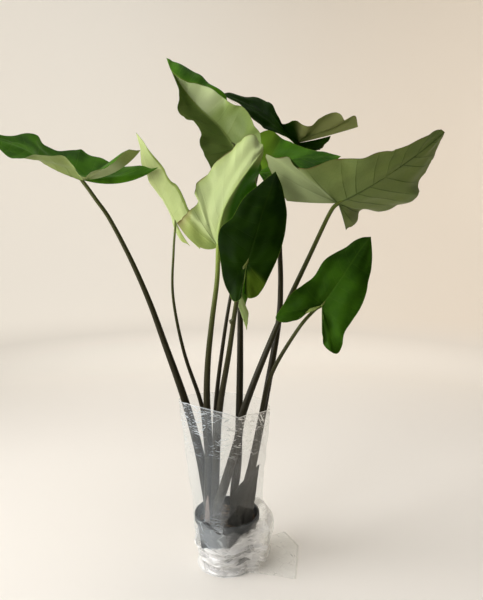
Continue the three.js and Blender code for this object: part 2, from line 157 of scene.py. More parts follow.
class Wire:
    # A node's output. Multiplying, adding or subtracting wires and numbers adds a Math node.
    def __init__(self, material, socket):
        self.material, self.socket = material, socket

    def __mul__(self, other):
        return maths("MULTIPLY", self, other)

    def __add__(self, other):
        return maths("ADD", self, other)

    def __rsub__(self, other):
        return maths("SUBTRACT", other, self)


def newMaterial(name):
    material = bpy.data.materials.new(name)
    material.use_nodes = True
    material.node_tree.nodes.clear()
    return material


def add(material, kind, inputs=None, output=0, **settings):
    # one node, with a wire, a number or a colour at each input named, and the wire from its output
    node = material.node_tree.nodes.new(kind)
    for key, value in settings.items():
        setattr(node, key, value)
    for key, value in (inputs or {}).items():
        if isinstance(value, Wire):
            material.node_tree.links.new(value.socket, node.inputs[key])
        elif node.inputs[key].type == "RGBA":
            node.inputs[key].default_value = (*value, 1)
        else:
            node.inputs[key].default_value = value
    return Wire(material, node.outputs[output])


def maths(operation, first, second, clamp=False):
    material = first.material if isinstance(first, Wire) else second.material
    return add(material, "ShaderNodeMath", {0: first, 1: second}, operation=operation, use_clamp=clamp)


def larger(first, second):
    return maths("MAXIMUM", first, second)


def between(wire, low, high, toLow=0.0, toHigh=1.0, smooth=True):
    # a value's place between low and high, as a number from toLow to toHigh
    return add(wire.material, "ShaderNodeMapRange",
               {"Value": wire, "From Min": low, "From Max": high, "To Min": toLow, "To Max": toHigh},
               interpolation_type="SMOOTHSTEP" if smooth else "LINEAR")


def blend(material, share, first, second, mode="MIX"):
    # two colours mixed by share
    return add(material, "ShaderNodeMix", {0: share, 6: first, 7: second}, 2,
               data_type="RGBA", blend_type=mode)


def parts(wire, kind="XYZ"):
    # the three parts of a vector or, with kind "Color", of a colour
    node = wire.material.node_tree.nodes.new("ShaderNodeSeparate" + kind)
    wire.material.node_tree.links.new(wire.socket, node.inputs[0])
    return [Wire(wire.material, output) for output in node.outputs]


def noise(place, scale, detail=3.0, roughness=0.5, output="Fac"):
    return add(place.material, "ShaderNodeTexNoise",
               {"Vector": place, "Scale": scale, "Detail": detail, "Roughness": roughness}, output)


def readNumber(material, name, output="Fac"):
    # what the mesh keeps at each point under this name
    return add(material, "ShaderNodeAttribute", None, output, attribute_name=name)


def objectPlace(material):
    return add(material, "ShaderNodeTexCoord", None, "Object")


def stretched(place, scale):
    return add(place.material, "ShaderNodeMapping", {"Vector": place, "Scale": scale})


def raised(height, strength, distance):
    return add(height.material, "ShaderNodeBump",
               {"Height": height, "Strength": strength, "Distance": distance})


def skinOf(colour, bump, roughness, gloss=0.5):
    return add(colour.material, "ShaderNodeBsdfPrincipled", {
        "Base Color": colour, "Normal": bump, "Roughness": roughness, "Specular IOR Level": gloss})


def withLightThrough(skin, share, colour, bump):
    # a thin surface: a share of the light goes through it
    through = add(skin.material, "ShaderNodeBsdfTranslucent", {"Color": colour, "Normal": bump})
    return add(skin.material, "ShaderNodeMixShader", {0: share, 1: skin, 2: through})


def finishWith(shader):
    tree = shader.material.node_tree
    tree.links.new(shader.socket, tree.nodes.new("ShaderNodeOutputMaterial").inputs["Surface"])
    return shader.material


# The leaves, with the same named points as the solids, in millimetres. A margin runs from the end of
# the basal lobe to near the tip. A fan is how many of its points the ribs reach straight from the
# junction, a bow lifts the middle of a rib by that share of its length, and a crest is where the
# middle of one rib passes. A scallop is a height in millimetres and how many waves it makes.
# tone is the underside's lightness, its yellowness, how dark its veins are, which in part paints the
# veins' shadows seen through the blade, and the upper side's lightness, which in part paints the light
# and shade that fall on each leaf; stemGreen is the petiole's greenness at the soil and at the blade. A
# patch is a stretch of another colour, and several patches paint light or shade: the colour, its half
# (1 left, -1 right), from and to which share of the margin and of the rib, how strong it is and how
# much light comes through. Without light it colours only the underside. torn is how far the margin's
# bites reach in millimetres, and dry how brown its edge is.
# ruffle is how wavy the margin is, swell how wavy the blade is inside it, and relief how far its
# veins stand out. A nub is a small bump on the petiole: its share of the length, turn and size.

# the pale colour paints stretches where the light falls, and the shaded and deep greens paint shade; the
# others are the leaves' own colours
leafColours = {
    "young": (0.24, 0.38, 0.03), "paleAndLit": (0.65, 0.74, 0.40), "olive": (0.24, 0.25, 0.09),
    "deepShade": (0.04, 0.18, 0.0), "shaded": (0.10, 0.15, 0.025), "withered": (0.30, 0.22, 0.12),
}

leaves = [
    dict(
        midrib=[[-341, -40, 985], [-383, -62, 1001], [-414, -85, 1018], [-438, -105, 1039],
                [-471, -130, 1052], [-513, -150, 1062]],
        left=[[-196, -66, 1050], [-216, -90, 1044], [-237, -110, 1026], [-250, -122, 1012],
              [-267, -134, 998], [-286, -144, 987], [-302, -150, 981], [-316, -154, 985],
              [-328, -156, 1002], [-348, -160, 1021], [-375, -165, 1024], [-399, -170, 1019],
              [-427, -175, 1013], [-450, -175, 1016], [-471, -170, 1029]],
        right=[[-163, -25, 1016], [-189, 0, 1020], [-227, 30, 1026], [-264, 52, 1031], [-294, 70, 1043],
               [-321, 76, 1051], [-348, 72, 1059], [-369, 65, 1075], [-388, 60, 1072], [-427, 40, 1065],
               [-447, 20, 1079], [-460, 0, 1097], [-485, -30, 1092], [-498, -65, 1082],
               [-507, -110, 1078]],
        leftFan=9, rightFan=6, leftBow=0, rightBow=-0.05,
        leftCrest={0: [-259, -60, 1000]}, rightCrest={0: [-253, -14, 981]},
        stem=[[-52, 12, 88], [-54, 12, 170], [-72, 8, 290], [-107, -8, 437], [-157, -20, 595],
              [-191, -26, 696], [-231, -31, 794], [-279, -35, 891], [-310, -38, 938]],
        footRadius=14.5, topRadius=4.6, tone=(0.8, 0.3, 0.6, 2.0), stemGreen=(0, 0.15),
        # the pale patch is in part painted light on this stretch of the left half
        patches=[("paleAndLit", 1, -0.1, 0.22, 0.12, 0.62, 1.0, 0.0)]),
    dict(
        midrib=[[-128, 25, 889], [-149, 22, 931], [-174, 22, 978], [-200, 28, 1037], [-228, 45, 1113]],
        left=[[-67, 15, 821], [-55, 0, 854], [-75, -8, 887], [-90, -16, 914], [-100, -24, 942],
              [-114, -33, 969], [-131, -30, 984], [-147, -25, 1010], [-159, -18, 1027], [-186, 0, 1060],
              [-211, 26, 1093]],
        right=[[-96, 60, 828], [-121, 72, 844], [-142, 80, 881], [-155, 82, 928], [-172, 76, 963],
               [-190, 66, 980], [-206, 60, 1007], [-218, 62, 1038], [-221, 60, 1075]],
        leftFan=3, rightFan=3, leftBow=-0.03, rightBow=-0.03,
        stem=[[-44, 30, 88], [-48, 34, 180], [-61, 34, 359], [-71, 30, 427], [-111, 24, 555],
              [-137, 20, 701], [-134, 22, 818]],
        footRadius=9, topRadius=2.8, tone=(1.1, 0.5, 0.4, 1), stemGreen=(0, 0.5), ruffle=0.5, relief=0.6,
        # the pale patches paint the light that falls on both halves
        patches=[("paleAndLit", -1, 0.1, 1.1, -0.2, 1.2, 0.4, 0.0), ("paleAndLit", 1, 0.1, 1.1, -0.2, 1.2, 0.4, 0.0),
                 ("shaded", 1, 0.1, 0.85, 0.9, 1.4, 0.8, 0.0)]),
    dict(
        midrib=[[21, 100, 1085], [-18, 95, 1135], [-59, 85, 1173], [-94, 75, 1207], [-123, 68, 1245],
                [-151, 62, 1299]],
        left=[[70, 70, 1041], [88, 60, 1072], [85, 55, 1104], [75, 55, 1129], [62, 58, 1151],
              [44, 62, 1177], [19, 66, 1188], [-11, 62, 1204], [-40, 40, 1220], [-74, 28, 1228],
              [-108, 25, 1232], [-136, 36, 1261]],
        right=[[-6, 35, 989], [-36, 28, 1013], [-53, 30, 1050], [-62, 32, 1077], [-68, 34, 1097],
               [-64, 34, 1117], [-80, 34, 1138], [-105, 30, 1142], [-116, 32, 1162], [-119, 38, 1193],
               [-121, 48, 1222], [-137, 58, 1264]],
        leftFan=4, rightFan=4, leftBow=0.04, rightBow=0.05,
        leftCrest={7: [-7, 66, 1202], 8: [-40, 60, 1227], 9: [-68, 62, 1256], 10: [-99, 60, 1275],
                   11: [-135, 58, 1291]},
        stem=[[14, 10, 88], [18, 12, 173], [29, 20, 266], [33, 36, 424], [35, 62, 660], [35, 82, 870],
              [31, 95, 1001]],
        footRadius=13.5, topRadius=5, tone=(0.95, 0.15, 0.5, 2.2), stemGreen=(0, 0.2), ruffle=1.2,
        relief=0.8, swell=0.5, scallop={"left": (4, 9)},
        # the shaded patches paint shade on the right half and the lower part of the left half, and the pale
        # patch paints light on the rest of the left half
        patches=[("shaded", -1, -0.2, 1.2, 0.05, 1.3, 0.6, 0.0),
                 ("paleAndLit", 1, 0.58, 1.0, -0.2, 0.6, 0.9, 0.0),
                 ("shaded", 1, -0.1, 0.45, 0.5, 1.2, 0.35, 0.0)]),
    dict(
        midrib=[[-18, -55, 826], [-14, -72, 870], [0, -86, 918], [28, -95, 965], [60, -88, 1010],
                [89, -66, 1051]],
        left=[[51, -52, 623], [56, -44, 646], [47, -36, 675], [61, -26, 711], [84, -8, 774], [90, 2, 843],
              [86, 4, 905], [80, -2, 951], [77, -12, 986], [80, -26, 1013], [88, -46, 1034]],
        right=[[-116, -50, 883], [-99, -50, 900], [-83, -50, 914], [-67, -50, 935], [-71, -50, 961],
               [-67, -42, 982], [-41, -45, 1004], [-8, -48, 1034], [18, -50, 1061], [42, -52, 1080],
               [68, -54, 1084], [86, -58, 1068]],
        leftFan=5, rightFan=4, leftBow=-0.04, rightBow=-0.05,
        rightCrest={0: [-65, -64, 828]},
        stem=[[-48, -6, 88], [-47, -9, 180], [-46, -20, 336], [-49, -28, 443], [-45, -36, 547],
              [-34, -43, 648], [-21, -50, 747]],
        footRadius=13.5, topRadius=5.5, tone=(1.1, 0.3, 0.25, 1), stemGreen=(0, 1), relief=0.35,
        ruffle=1.5, swell=1.3, torn=2.2, dry=0.9,
        # the pale patches paint light on the left lobe's tip and on the right half, and the deep green
        # paints shade on the left half; the withered patch is the leaf's own brown
        patches=[("paleAndLit", 1, -0.1, 0.12, 0.55, 1.2, 1.0, 1.0),
                 ("deepShade", 1, 0.2, 0.88, 0.08, 1.3, 1.0, 0.0),
                 ("paleAndLit", -1, 0.1, 0.95, 0.05, 0.95, 0.55, 0.0),
                 ("withered", -1, -0.1, 0.16, 0.9, 1.4, 0.7, 0.0)]),
    dict(
        midrib=[[50, -150, 791], [68, -150, 848], [85, -140, 905], [104, -124, 957], [115, -104, 996]],
        left=[[39, -180, 727], [34, -180, 712], [21, -174, 708], [10, -164, 724], [-2, -150, 754],
              [-9, -140, 793], [-15, -130, 835], [-7, -124, 871], [17, -118, 894], [41, -114, 932],
              [78, -106, 968]],
        right=[[44, -170, 725], [55, -176, 715], [72, -176, 720], [85, -172, 736], [95, -166, 755],
               [112, -156, 789], [128, -146, 831], [138, -136, 873], [137, -126, 917], [130, -116, 960]],
        leftFan=6, rightFan=6, leftBow=0.05, rightBow=0.05,
        stem=[[-30, -18, 88], [-30, -30, 190], [-23, -54, 347], [-12, -74, 456], [9, -104, 581],
              [26, -132, 700], [41, -149, 771]],
        footRadius=13, topRadius=4.8, tone=(0.9, 0.3, 0.3, 0.25), stemGreen=(0, 0.25),
        ruffle=0.6, relief=0.4, nub=(0.785, 4.6, 1.1),
        patches=[("young", -1, 0.05, 0.36, 0.3, 1.2, 0.2, 0.15)]),
    dict(
        midrib=[[82, 100, 1023], [133, 84, 1046], [183, 62, 1052], [235, 36, 1051], [283, 8, 1048]],
        left=[[39, 150, 1083], [67, 165, 1123], [97, 160, 1141], [123, 148, 1137], [152, 128, 1113],
              [190, 104, 1091], [235, 66, 1071], [265, 34, 1059]],
        right=[[103, 45, 978], [127, 20, 992], [157, 4, 1000], [191, -4, 1005], [229, -6, 1017],
               [262, -2, 1032]],
        leftFan=3, rightFan=2, leftBow=-0.04, rightBow=0.06,
        stem=[[-31, 9, 88], [-30, 16, 181], [-32, 22, 319], [-28, 22, 428], [-12, 20, 561], [10, 20, 699],
              [42, 40, 856], [68, 75, 958]],
        footRadius=8, topRadius=3.2, tone=(0.9, 0.2, 0.5, 1.6), stemGreen=(0, 0.2), ruffle=0.7, relief=0.6,
        # the young green patch is in part painted light on the upper side
        patches=[("young", 1, -0.2, 0.45, -0.2, 1.2, 0.4, 0.3)]),
    dict(
        midrib=[[265, -60, 929], [309, -74, 951], [367, -80, 985], [436, -76, 1033], [509, -64, 1091]],
        left=[[296, -10, 865], [323, 0, 888], [335, 8, 917], [379, 14, 915], [427, 14, 927], [459, 6, 937],
              [473, -6, 960], [474, -16, 988], [491, -32, 1030], [504, -50, 1067]],
        right=[[143, -62, 934], [114, -72, 979], [92, -80, 1036], [117, -84, 1029], [144, -88, 1031],
               [155, -92, 1010], [178, -94, 1005], [200, -96, 1010], [240, -100, 1024], [278, -102, 1026],
               [314, -104, 1028], [347, -104, 1039], [387, -100, 1046], [422, -94, 1061], [463, -84, 1082],
               [492, -72, 1096]],
        leftFan=3, rightFan=7, leftBow=-0.05, rightBow=-0.05,
        stem=[[-24, -36, 88], [-22, -46, 170], [-2, -52, 240], [27, -50, 341], [47, -46, 433],
              [129, -46, 644], [202, -52, 807], [247, -58, 906]],
        footRadius=13.5, topRadius=4.8, tone=(0.53, 0.3, 2.4, 0.6), stemGreen=(0, 0.35), torn=3.5, dry=0.9,
        # the pale patch paints the light that falls on the lobe of the right half
        relief=0.8, ruffle=0.8, patches=[("paleAndLit", -1, -0.1, 0.34, 0.1, 1.3, 0.4, 0.0)]),
    dict(
        midrib=[[200, 205, 1118], [157, 196, 1147], [95, 186, 1194], [37, 180, 1223], [-18, 176, 1243]],
        left=[[289, 198, 1136], [276, 180, 1113], [250, 168, 1088], [205, 165, 1090], [155, 162, 1127],
              [116, 154, 1142], [87, 150, 1152], [62, 152, 1180], [37, 158, 1206], [7, 168, 1227]],
        right=[[366, 196, 1160], [354, 186, 1188], [324, 180, 1175], [315, 174, 1187], [289, 168, 1192],
               [247, 164, 1176], [232, 170, 1158], [207, 170, 1159], [184, 176, 1174], [154, 196, 1170],
               [139, 216, 1197], [126, 232, 1231], [94, 236, 1244], [50, 224, 1251], [11, 204, 1256]],
        leftFan=3, rightFan=8, leftBow=-0.05, rightBow=-0.03,
        stem=[[42, 14, 88], [50, 16, 186], [68, 18, 262], [93, 12, 400], [134, 56, 614], [143, 90, 727],
              [143, 130, 858], [156, 166, 983], [183, 193, 1074]],
        footRadius=13.5, topRadius=5, tone=(0.7, 0.35, 0.8, 0.35), stemGreen=(0, 0), torn=4, dry=0.45,
        patches=[("olive", -1, -0.1, 0.5, -0.2, 1.2, 0.95, 0.2),
                 ("withered", -1, -0.1, 0.5, 0.94, 1.4, 0.6, 0.0)]),
    dict(
        midrib=[[224, -110, 693], [256, -118, 742], [287, -116, 788], [312, -104, 822], [339, -84, 850]],
        left=[[195, -112, 685], [174, -111, 665], [155, -108, 654], [137, -104, 651], [120, -101, 657],
              [119, -100, 668], [135, -100, 694], [155, -104, 720], [181, -100, 740], [206, -96, 759],
              [225, -92, 787], [254, -86, 812], [287, -80, 831], [317, -78, 847]],
        right=[[220, -140, 633], [224, -144, 607], [238, -148, 592], [254, -150, 587], [264, -150, 604],
               [270, -150, 636], [285, -148, 660], [304, -142, 687], [321, -134, 728], [332, -120, 772],
               [338, -102, 815]],
        leftFan=9, rightFan=6, leftBow=0.05, rightBow=0.05,
        stem=[[46, -10, 88], [54, -15, 190], [72, -20, 283], [95, -26, 440], [118, -52, 530],
              [171, -84, 631], [208, -90, 677]],
        footRadius=9.5, topRadius=4, tone=(0.9, 0.3, 0.6, 0.85), stemGreen=(0, 0.3), relief=0.5),
]

blade = {
    "thickness": 0.0008, "marginThickness": 0.0004,
    "rowsBetweenVeins": 11, "columns": 40, "columnPower": 1.5,
    "lobeVeins": (0.2, 0.52, 0.84), "sideVeins": (0.1, 0.24, 0.38, 0.51, 0.64, 0.76, 0.88),
    "veinBend": 0.035, "veinJitter": 0.16, "lobeJitter": 0.2, "sideJitter": 0.13,
    "quilt": 0.0009, "veinRidge": 0.0004, "veinGroove": 0.00025, "veinWidth": 0.0011,
    "midribHeight": 0.6, "midribWidth": 0.6, "midribTipShare": 0.2, "midribGroove": 0.18,
    "lobeRibShare": 0.5, "lobeRibTipShare": 0.15, "lobeRibGroove": 0.15,
    "ruffle": 0.0030, "ruffleCount": 4.5, "swell": 0.0026, "fullWaveLength": 0.06, "teeth": 46, "torn": 0.4,
}


def jagged(share, count, seed):
    # a torn edge's bites, from 0 to 1: straight lines between uneven depths at uneven places
    rng = np.random.default_rng(seed)
    places = np.sort(rng.uniform(0, 1, count))
    return np.interp(share, places, rng.uniform(0, 1, count) ** 2)


def bladeHalf(leaf, side, upward, rowShare, columnShare, seed):
    # Points of one half: S(1 - t) + M t + 4t(1 - t)B, from S on the midrib to M on the margin, with B
    # the bow or the lift to a crest, plus a sine wave where it is scalloped. Torn edges draw M back
    # along the rib.
    midrib = np.array(leaf["midrib"]) * mm
    margin = np.array(leaf[side] + leaf["midrib"][-1:]) * mm
    last, fan, bow = len(margin) - 1, leaf[side + "Fan"], leaf[side + "Bow"]
    spineShare = lambda place: np.maximum(0, (place - fan) / (last - fan))
    lifts, weights = np.zeros((last + 1, 3)), np.zeros((last + 1, 3))
    for index, crest in leaf.get(side + "Crest", {}).items():
        foot = throughPoints(midrib, np.array(spineShare(index)))
        lifts[index] = np.array(crest) * mm - (foot + margin[index]) / 2
        weights[index] = 1
    start = throughPoints(midrib, spineShare(rowShare * last))
    end = throughPoints(margin, rowShare)
    rib = end - start
    along = unit(rib)
    normal = unit(upward - along * (along @ upward)[..., None])
    length = np.linalg.norm(rib, axis=-1, keepdims=True)
    bulge = normal * bow * length * (1 - throughPoints(weights, rowShare)[..., :1])
    bulge = bulge + throughPoints(lifts, rowShare)
    if side in leaf.get("scallop", ()):
        height, count = leaf["scallop"][side]
        within = smoothStep(0.5, 0.6, rowShare) * (1 - smoothStep(0.9, 0.98, rowShare))
        bulge = bulge + upward * (height * mm * np.sin(2 * np.pi * count * rowShare) * within)[..., None]
    bite = leaf.get("torn", blade["torn"]) * mm * jagged(rowShare, blade["teeth"], seed)
    bite = bite * smoothStep(0, 0.1, 1 - rowShare)
    end = end - along * np.minimum(bite[..., None], 0.2 * length)
    t = columnShare[..., None]
    return start * (1 - t) + end * t + 4 * t * (1 - t) * bulge, length[..., 0]


def rowPlaces(veins, rows):
    # rows that crowd at each vein: between two veins they follow (1 - cos) / 2
    edges = np.array([0, *veins, 1])
    steps = (1 - np.cos(np.pi * np.arange(rows) / rows)) / 2
    return np.append((edges[:-1, None] + np.diff(edges)[:, None] * steps).ravel(), 1)


def distanceTo(points, line):
    # each point's distance to the nearest point of a line, and that point's share of the line
    offsets = np.linalg.norm(points[..., None, :] - line, axis=-1)
    return offsets.min(axis=-1), offsets.argmin(axis=-1) / (len(line) - 1)


def bladeUpward(leaf):
    # square to the line from junction to tip and to the line between the middles of the two halves
    forward = (np.array(leaf["midrib"][-1]) - leaf["midrib"][0]) * mm
    across = (np.mean(leaf["left"][1:], axis=0) - np.mean(leaf["right"][1:], axis=0)) * mm
    return unit(np.cross(forward, across))


def bladeGrid(leaf, number):
    # the whole blade's middle surface, left margin to right margin, and what is known at each point
    columns = (np.arange(blade["columns"] + 1) / blade["columns"]) ** blade["columnPower"]
    upward = bladeUpward(leaf)
    rng = np.random.default_rng(100 + number)
    halves, lobeRibs = [], []
    for side in ("left", "right"):
        fanShare = leaf[side + "Fan"] / len(leaf[side])
        jitter = blade["veinJitter"] * rng.uniform(-1, 1, 10)
        veins = [fanShare * (share + blade["lobeJitter"] * shift)
                 for share, shift in zip(blade["lobeVeins"], jitter)]
        veins += [fanShare + (1 - fanShare) * (share + blade["sideJitter"] * shift)
                  for share, shift in zip(blade["sideVeins"], jitter[3:])]
        row, t = np.meshgrid(rowPlaces(veins, blade["rowsBetweenVeins"]), columns, indexing="ij")
        share = row + blade["veinBend"] * 4 * row * (1 - row) * t**2
        points, length = bladeHalf(leaf, side, upward, share, t, 500 + 2 * number + len(halves))
        vein = np.interp(row, [0, *veins, 1], np.arange(len(veins) + 2) + 0.0)
        step = np.gradient(points, axis=0) / np.maximum(np.gradient(vein, axis=0), 1e-6)[..., None]
        gap = np.linalg.norm(np.cross(step, unit(np.gradient(points, axis=1))), axis=-1)
        phases = rng.uniform(0, 2 * np.pi, 6)
        waves = sum(np.sin(2 * np.pi * blade["ruffleCount"] * k * share + phase) / k**1.6
                    for k, phase in zip((1, 1.7, 2.9), phases))
        ends = smoothStep(0, 0.06, share) * (1 - smoothStep(0.9, 1, share))
        reach = np.minimum(1, length / blade["fullWaveLength"]) * ends
        ruffle = blade["ruffle"] * leaf.get("ruffle", 1) * waves * smoothStep(0.45, 1, t) * reach
        swell = np.sin(9 * share + 6 * t + phases[3]) + 0.6 * np.sin(17 * share - 9 * t + phases[4])
        swell = swell * blade["swell"] * leaf.get("swell", leaf.get("ruffle", 1))
        swell = swell * np.sin(np.pi * t) * reach
        halves.append({
            "points": points, "vein": vein, "gap": gap, "waves": ruffle + swell, "share": share, "t": t,
            "toMargin": (1 - t) * length, "side": np.full_like(t, 1 if side == "left" else -1)})
        lobeRibs.append(points[blade["rowsBetweenVeins"] * 2])
    left, right = halves
    return {key: np.concatenate([left[key][:, ::-1], right[key][:, 1:]], axis=1) for key in left}, lobeRibs


def ribRidge(distance, radius):
    # a rib's height above the blade: a bell across its width
    return radius * blade["midribHeight"] * np.exp(-((distance / (radius * blade["midribWidth"])) ** 2))


def patchShares(leaf, grid):
    # at each point, how strongly its patch colours the underside and the top, the light that comes
    # through it, and its colour
    under, top, glow = (np.zeros(grid["t"].shape) for _ in range(3))
    colours = np.full((*grid["t"].shape, 3), leafColours["young"])
    within = lambda values, low, high, soft: (
        smoothStep(low - soft, low + soft, values) * (1 - smoothStep(high - soft, high + soft, values)))
    for colour, side, first, last, near, far, amount, through in leaf.get("patches", ()):
        place = within(grid["share"], first, last, 0.05) * within(grid["t"], near, far, 0.15)
        place = place * (grid["side"] == side)
        colours[place > under] = leafColours[colour]
        under = np.maximum(under, amount * place)
        top = np.maximum(top, amount * place * (through > 0))
        glow = np.maximum(glow, through * place)
    return under, top, glow, colours


def bladePiece(leaf, number, topLook, underLook):
    # Two skins either side of the middle surface, joined round the margin. The upper one dips over
    # the veins and the lower one stands out in ribs there, and both puff up between the veins.
    grid, lobeRibs = bladeGrid(leaf, number)
    points = grid["points"]
    middle = points.shape[1] // 2
    normals = np.cross(np.gradient(points, axis=1), np.gradient(points, axis=0))
    size = np.linalg.norm(normals, axis=-1)
    fan = size[:, middle] < 1e-9
    normals = unit(normals)
    normals[size < 1e-12] = bladeUpward(leaf)
    normals[fan, middle] = unit(normals[:, [middle - 2, middle + 2]].mean(axis=(0, 1)))

    midrib = throughPoints(np.array(leaf["midrib"]) * mm, np.linspace(0, 1, 160))
    fromMidrib, along = distanceTo(points, midrib)
    base = leaf["topRadius"] * mm
    ridge = ribRidge(fromMidrib, base * (1 - (1 - blade["midribTipShare"]) * along**0.8))
    groove = blade["midribGroove"] * ridge
    for line in lobeRibs:
        offset, share = distanceTo(points, line)
        thinning = 1 - (1 - blade["lobeRibTipShare"]) * share**0.7
        lobeRidge = ribRidge(offset, base * blade["lobeRibShare"] * thinning)
        ridge = np.maximum(ridge, lobeRidge)
        groove = np.maximum(groove, blade["lobeRibGroove"] * lobeRidge)

    inner = smoothStep(0, 0.012, grid["toMargin"])
    relief = leaf.get("relief", 1)
    toVein = np.abs(grid["vein"] - np.round(grid["vein"])) * grid["gap"]
    line = relief * inner * np.exp(-((toVein / blade["veinWidth"]) ** 2))
    puff = np.sin(np.pi * (grid["vein"] % 1)) ** 2 * inner * smoothStep(0.002, 0.015, fromMidrib)
    puff = puff * relief * blade["quilt"] * np.minimum(1, grid["gap"] / 0.03)
    rim = smoothStep(0, 0.02, grid["toMargin"])
    half = (blade["marginThickness"] + (blade["thickness"] - blade["marginThickness"]) * rim) / 2
    surface = points + normals * (grid["waves"] + puff)[..., None]
    top = surface + normals * (half - groove * rim - blade["veinGroove"] * line)[..., None]
    under = surface - normals * (half + ridge * rim + blade["veinRidge"] * line)[..., None]
    top[-1] = under[-1] = points[-1]
    for skin in (top, under):
        skin[fan, middle] = skin[fan, middle].mean(axis=0)
    body, quads = closedSheet(top, under, pointed=True)

    underPatch, topPatch, glow, patchColours = patchShares(leaf, grid)
    light, yellow, veinDarkAndShadow, topToneAndShade = leaf["tone"]
    twice = lambda values: np.concatenate([values.ravel(), values.ravel()])
    newPiece(
        f"leafBlade{number}", body, quads, [topLook, underLook], replaces=[f"blade_{number}"],
        slots=np.arange(len(quads)) >= len(gridQuads(*points.shape[:2])), sharpOver=65,
        numbers={"vein": twice(grid["vein"]), "veinGap": twice(grid["gap"] / mm),
                 "fromMidrib": twice(fromMidrib / mm), "toMargin": twice(grid["toMargin"] / mm),
                 "tone": np.tile([light, yellow, veinDarkAndShadow], (len(body), 1)), "glow": twice(glow),
                 "patch": np.concatenate([topPatch.ravel(), underPatch.ravel()]),
                 "patchColour": twice(patchColours), "dry": np.full(len(body), leaf.get("dry", 0.0)),
                 "topToneAndShade": np.full(len(body), topToneAndShade)})


leafLook = {
    "topDark": (0.010, 0.032, 0.002), "topPale": (0.034, 0.095, 0.005), "topVein": (0.07, 0.14, 0.015),
    "underPale": (0.34, 0.45, 0.13), "underYellow": (0.48, 0.55, 0.14), "underVein": (0.10, 0.15, 0.03),
    "rimTop": (0.14, 0.21, 0.03), "rimUnder": (0.07, 0.10, 0.02), "dry": (0.16, 0.085, 0.035),
    "throughTop": (0.10, 0.32, 0.006), "throughUnder": (0.28, 0.50, 0.02),
    "throughGlow": (0.50, 0.66, 0.06), "roughness": 0.42, "topThrough": 0.08, "glowThrough": 0.5,
    "underThrough": 0.30, "topGloss": 0.02, "underGloss": 0.2, "patchGloss": 0.04, "netAcross": 5.0,
    "netAlong": 0.12, "dryReach": 7.0, "bump": 0.0008,
}


def veinLines(material):
    # How near the surface is to a side vein or the midrib, and to the fine net between them, from
    # 0 to 1, and how far it is from the margin, in millimetres
    vein, gap = readNumber(material, "vein"), readNumber(material, "veinGap")
    toMargin, fromMidrib = readNumber(material, "toMargin"), readNumber(material, "fromMidrib")
    width = between(toMargin, 0, 70, 0.5, 1.5, smooth=False)
    side = 1.0 - between(maths("PINGPONG", vein, 0.5) * gap, 0.0, width)
    mid = 1.0 - between(fromMidrib, 0.6, 2.6)
    place = add(material, "ShaderNodeCombineXYZ", {
        "X": vein * leafLook["netAcross"], "Y": fromMidrib * leafLook["netAlong"]})
    net = add(material, "ShaderNodeTexVoronoi", {"Vector": place, "Scale": 1.0}, feature="DISTANCE_TO_EDGE")
    return larger(side, mid), 1.0 - between(net, 0.0, 0.12), toMargin


def markedColour(colour, light, toMargin, rimColour):
    # The leaf's lightness, on the upper side in part painted light and shade, its patches, some of which
    # paint light or shade, a thin rim of another colour, and dry brown bits that reach in from the margin
    material = colour.material
    grey = add(material, "ShaderNodeCombineColor", {part: light for part in ("Red", "Green", "Blue")})
    colour = blend(material, 1.0, colour, grey, "MULTIPLY")
    patchColour = readNumber(material, "patchColour", "Color")
    colour = blend(material, readNumber(material, "patch"), colour, patchColour)
    rim = 1.0 - between(toMargin, 0.4, 1.5)
    colour = blend(material, rim * 0.6, colour, rimColour)
    reach = between(noise(objectPlace(material), 26, 4, 0.6), 0.38, 0.75, 0.2, leafLook["dryReach"])
    brown = 1.0 - between(toMargin, 0.0, reach)
    return blend(material, brown * readNumber(material, "dry"), colour, leafLook["dry"])


def leafTop():
    material = newMaterial("leafTop")
    lines, net, toMargin = veinLines(material)
    place, glow = objectPlace(material), readNumber(material, "glow")
    mottle = between(noise(place, 14, 4), 0.32, 0.68)
    colour = blend(material, mottle, leafLook["topDark"], leafLook["topPale"])
    colour = blend(material, net * 0.08, colour, leafLook["topVein"])
    colour = blend(material, lines * 0.25, colour, leafLook["topVein"])
    # each leaf's upper side is made lighter or darker, in part painted light and shade for how the light
    # falls on it
    colour = markedColour(colour, readNumber(material, "topToneAndShade"), toMargin, leafLook["rimTop"])
    bump = raised(lines * -0.7 + net * -0.25 + noise(place, 900, 2) * 0.25, 0.3, leafLook["bump"])
    rough = between(noise(place, 40, 3), 0.3, 0.7, leafLook["roughness"] - 0.05,
                    leafLook["roughness"] + 0.12, smooth=False)
    share = between(glow, 0, 1, leafLook["topThrough"], leafLook["glowThrough"], smooth=False)
    light = blend(material, glow, leafLook["throughTop"], leafLook["throughGlow"])
    skin = skinOf(colour, bump, rough, leafLook["topGloss"])
    return finishWith(withLightThrough(skin, share, light, bump))


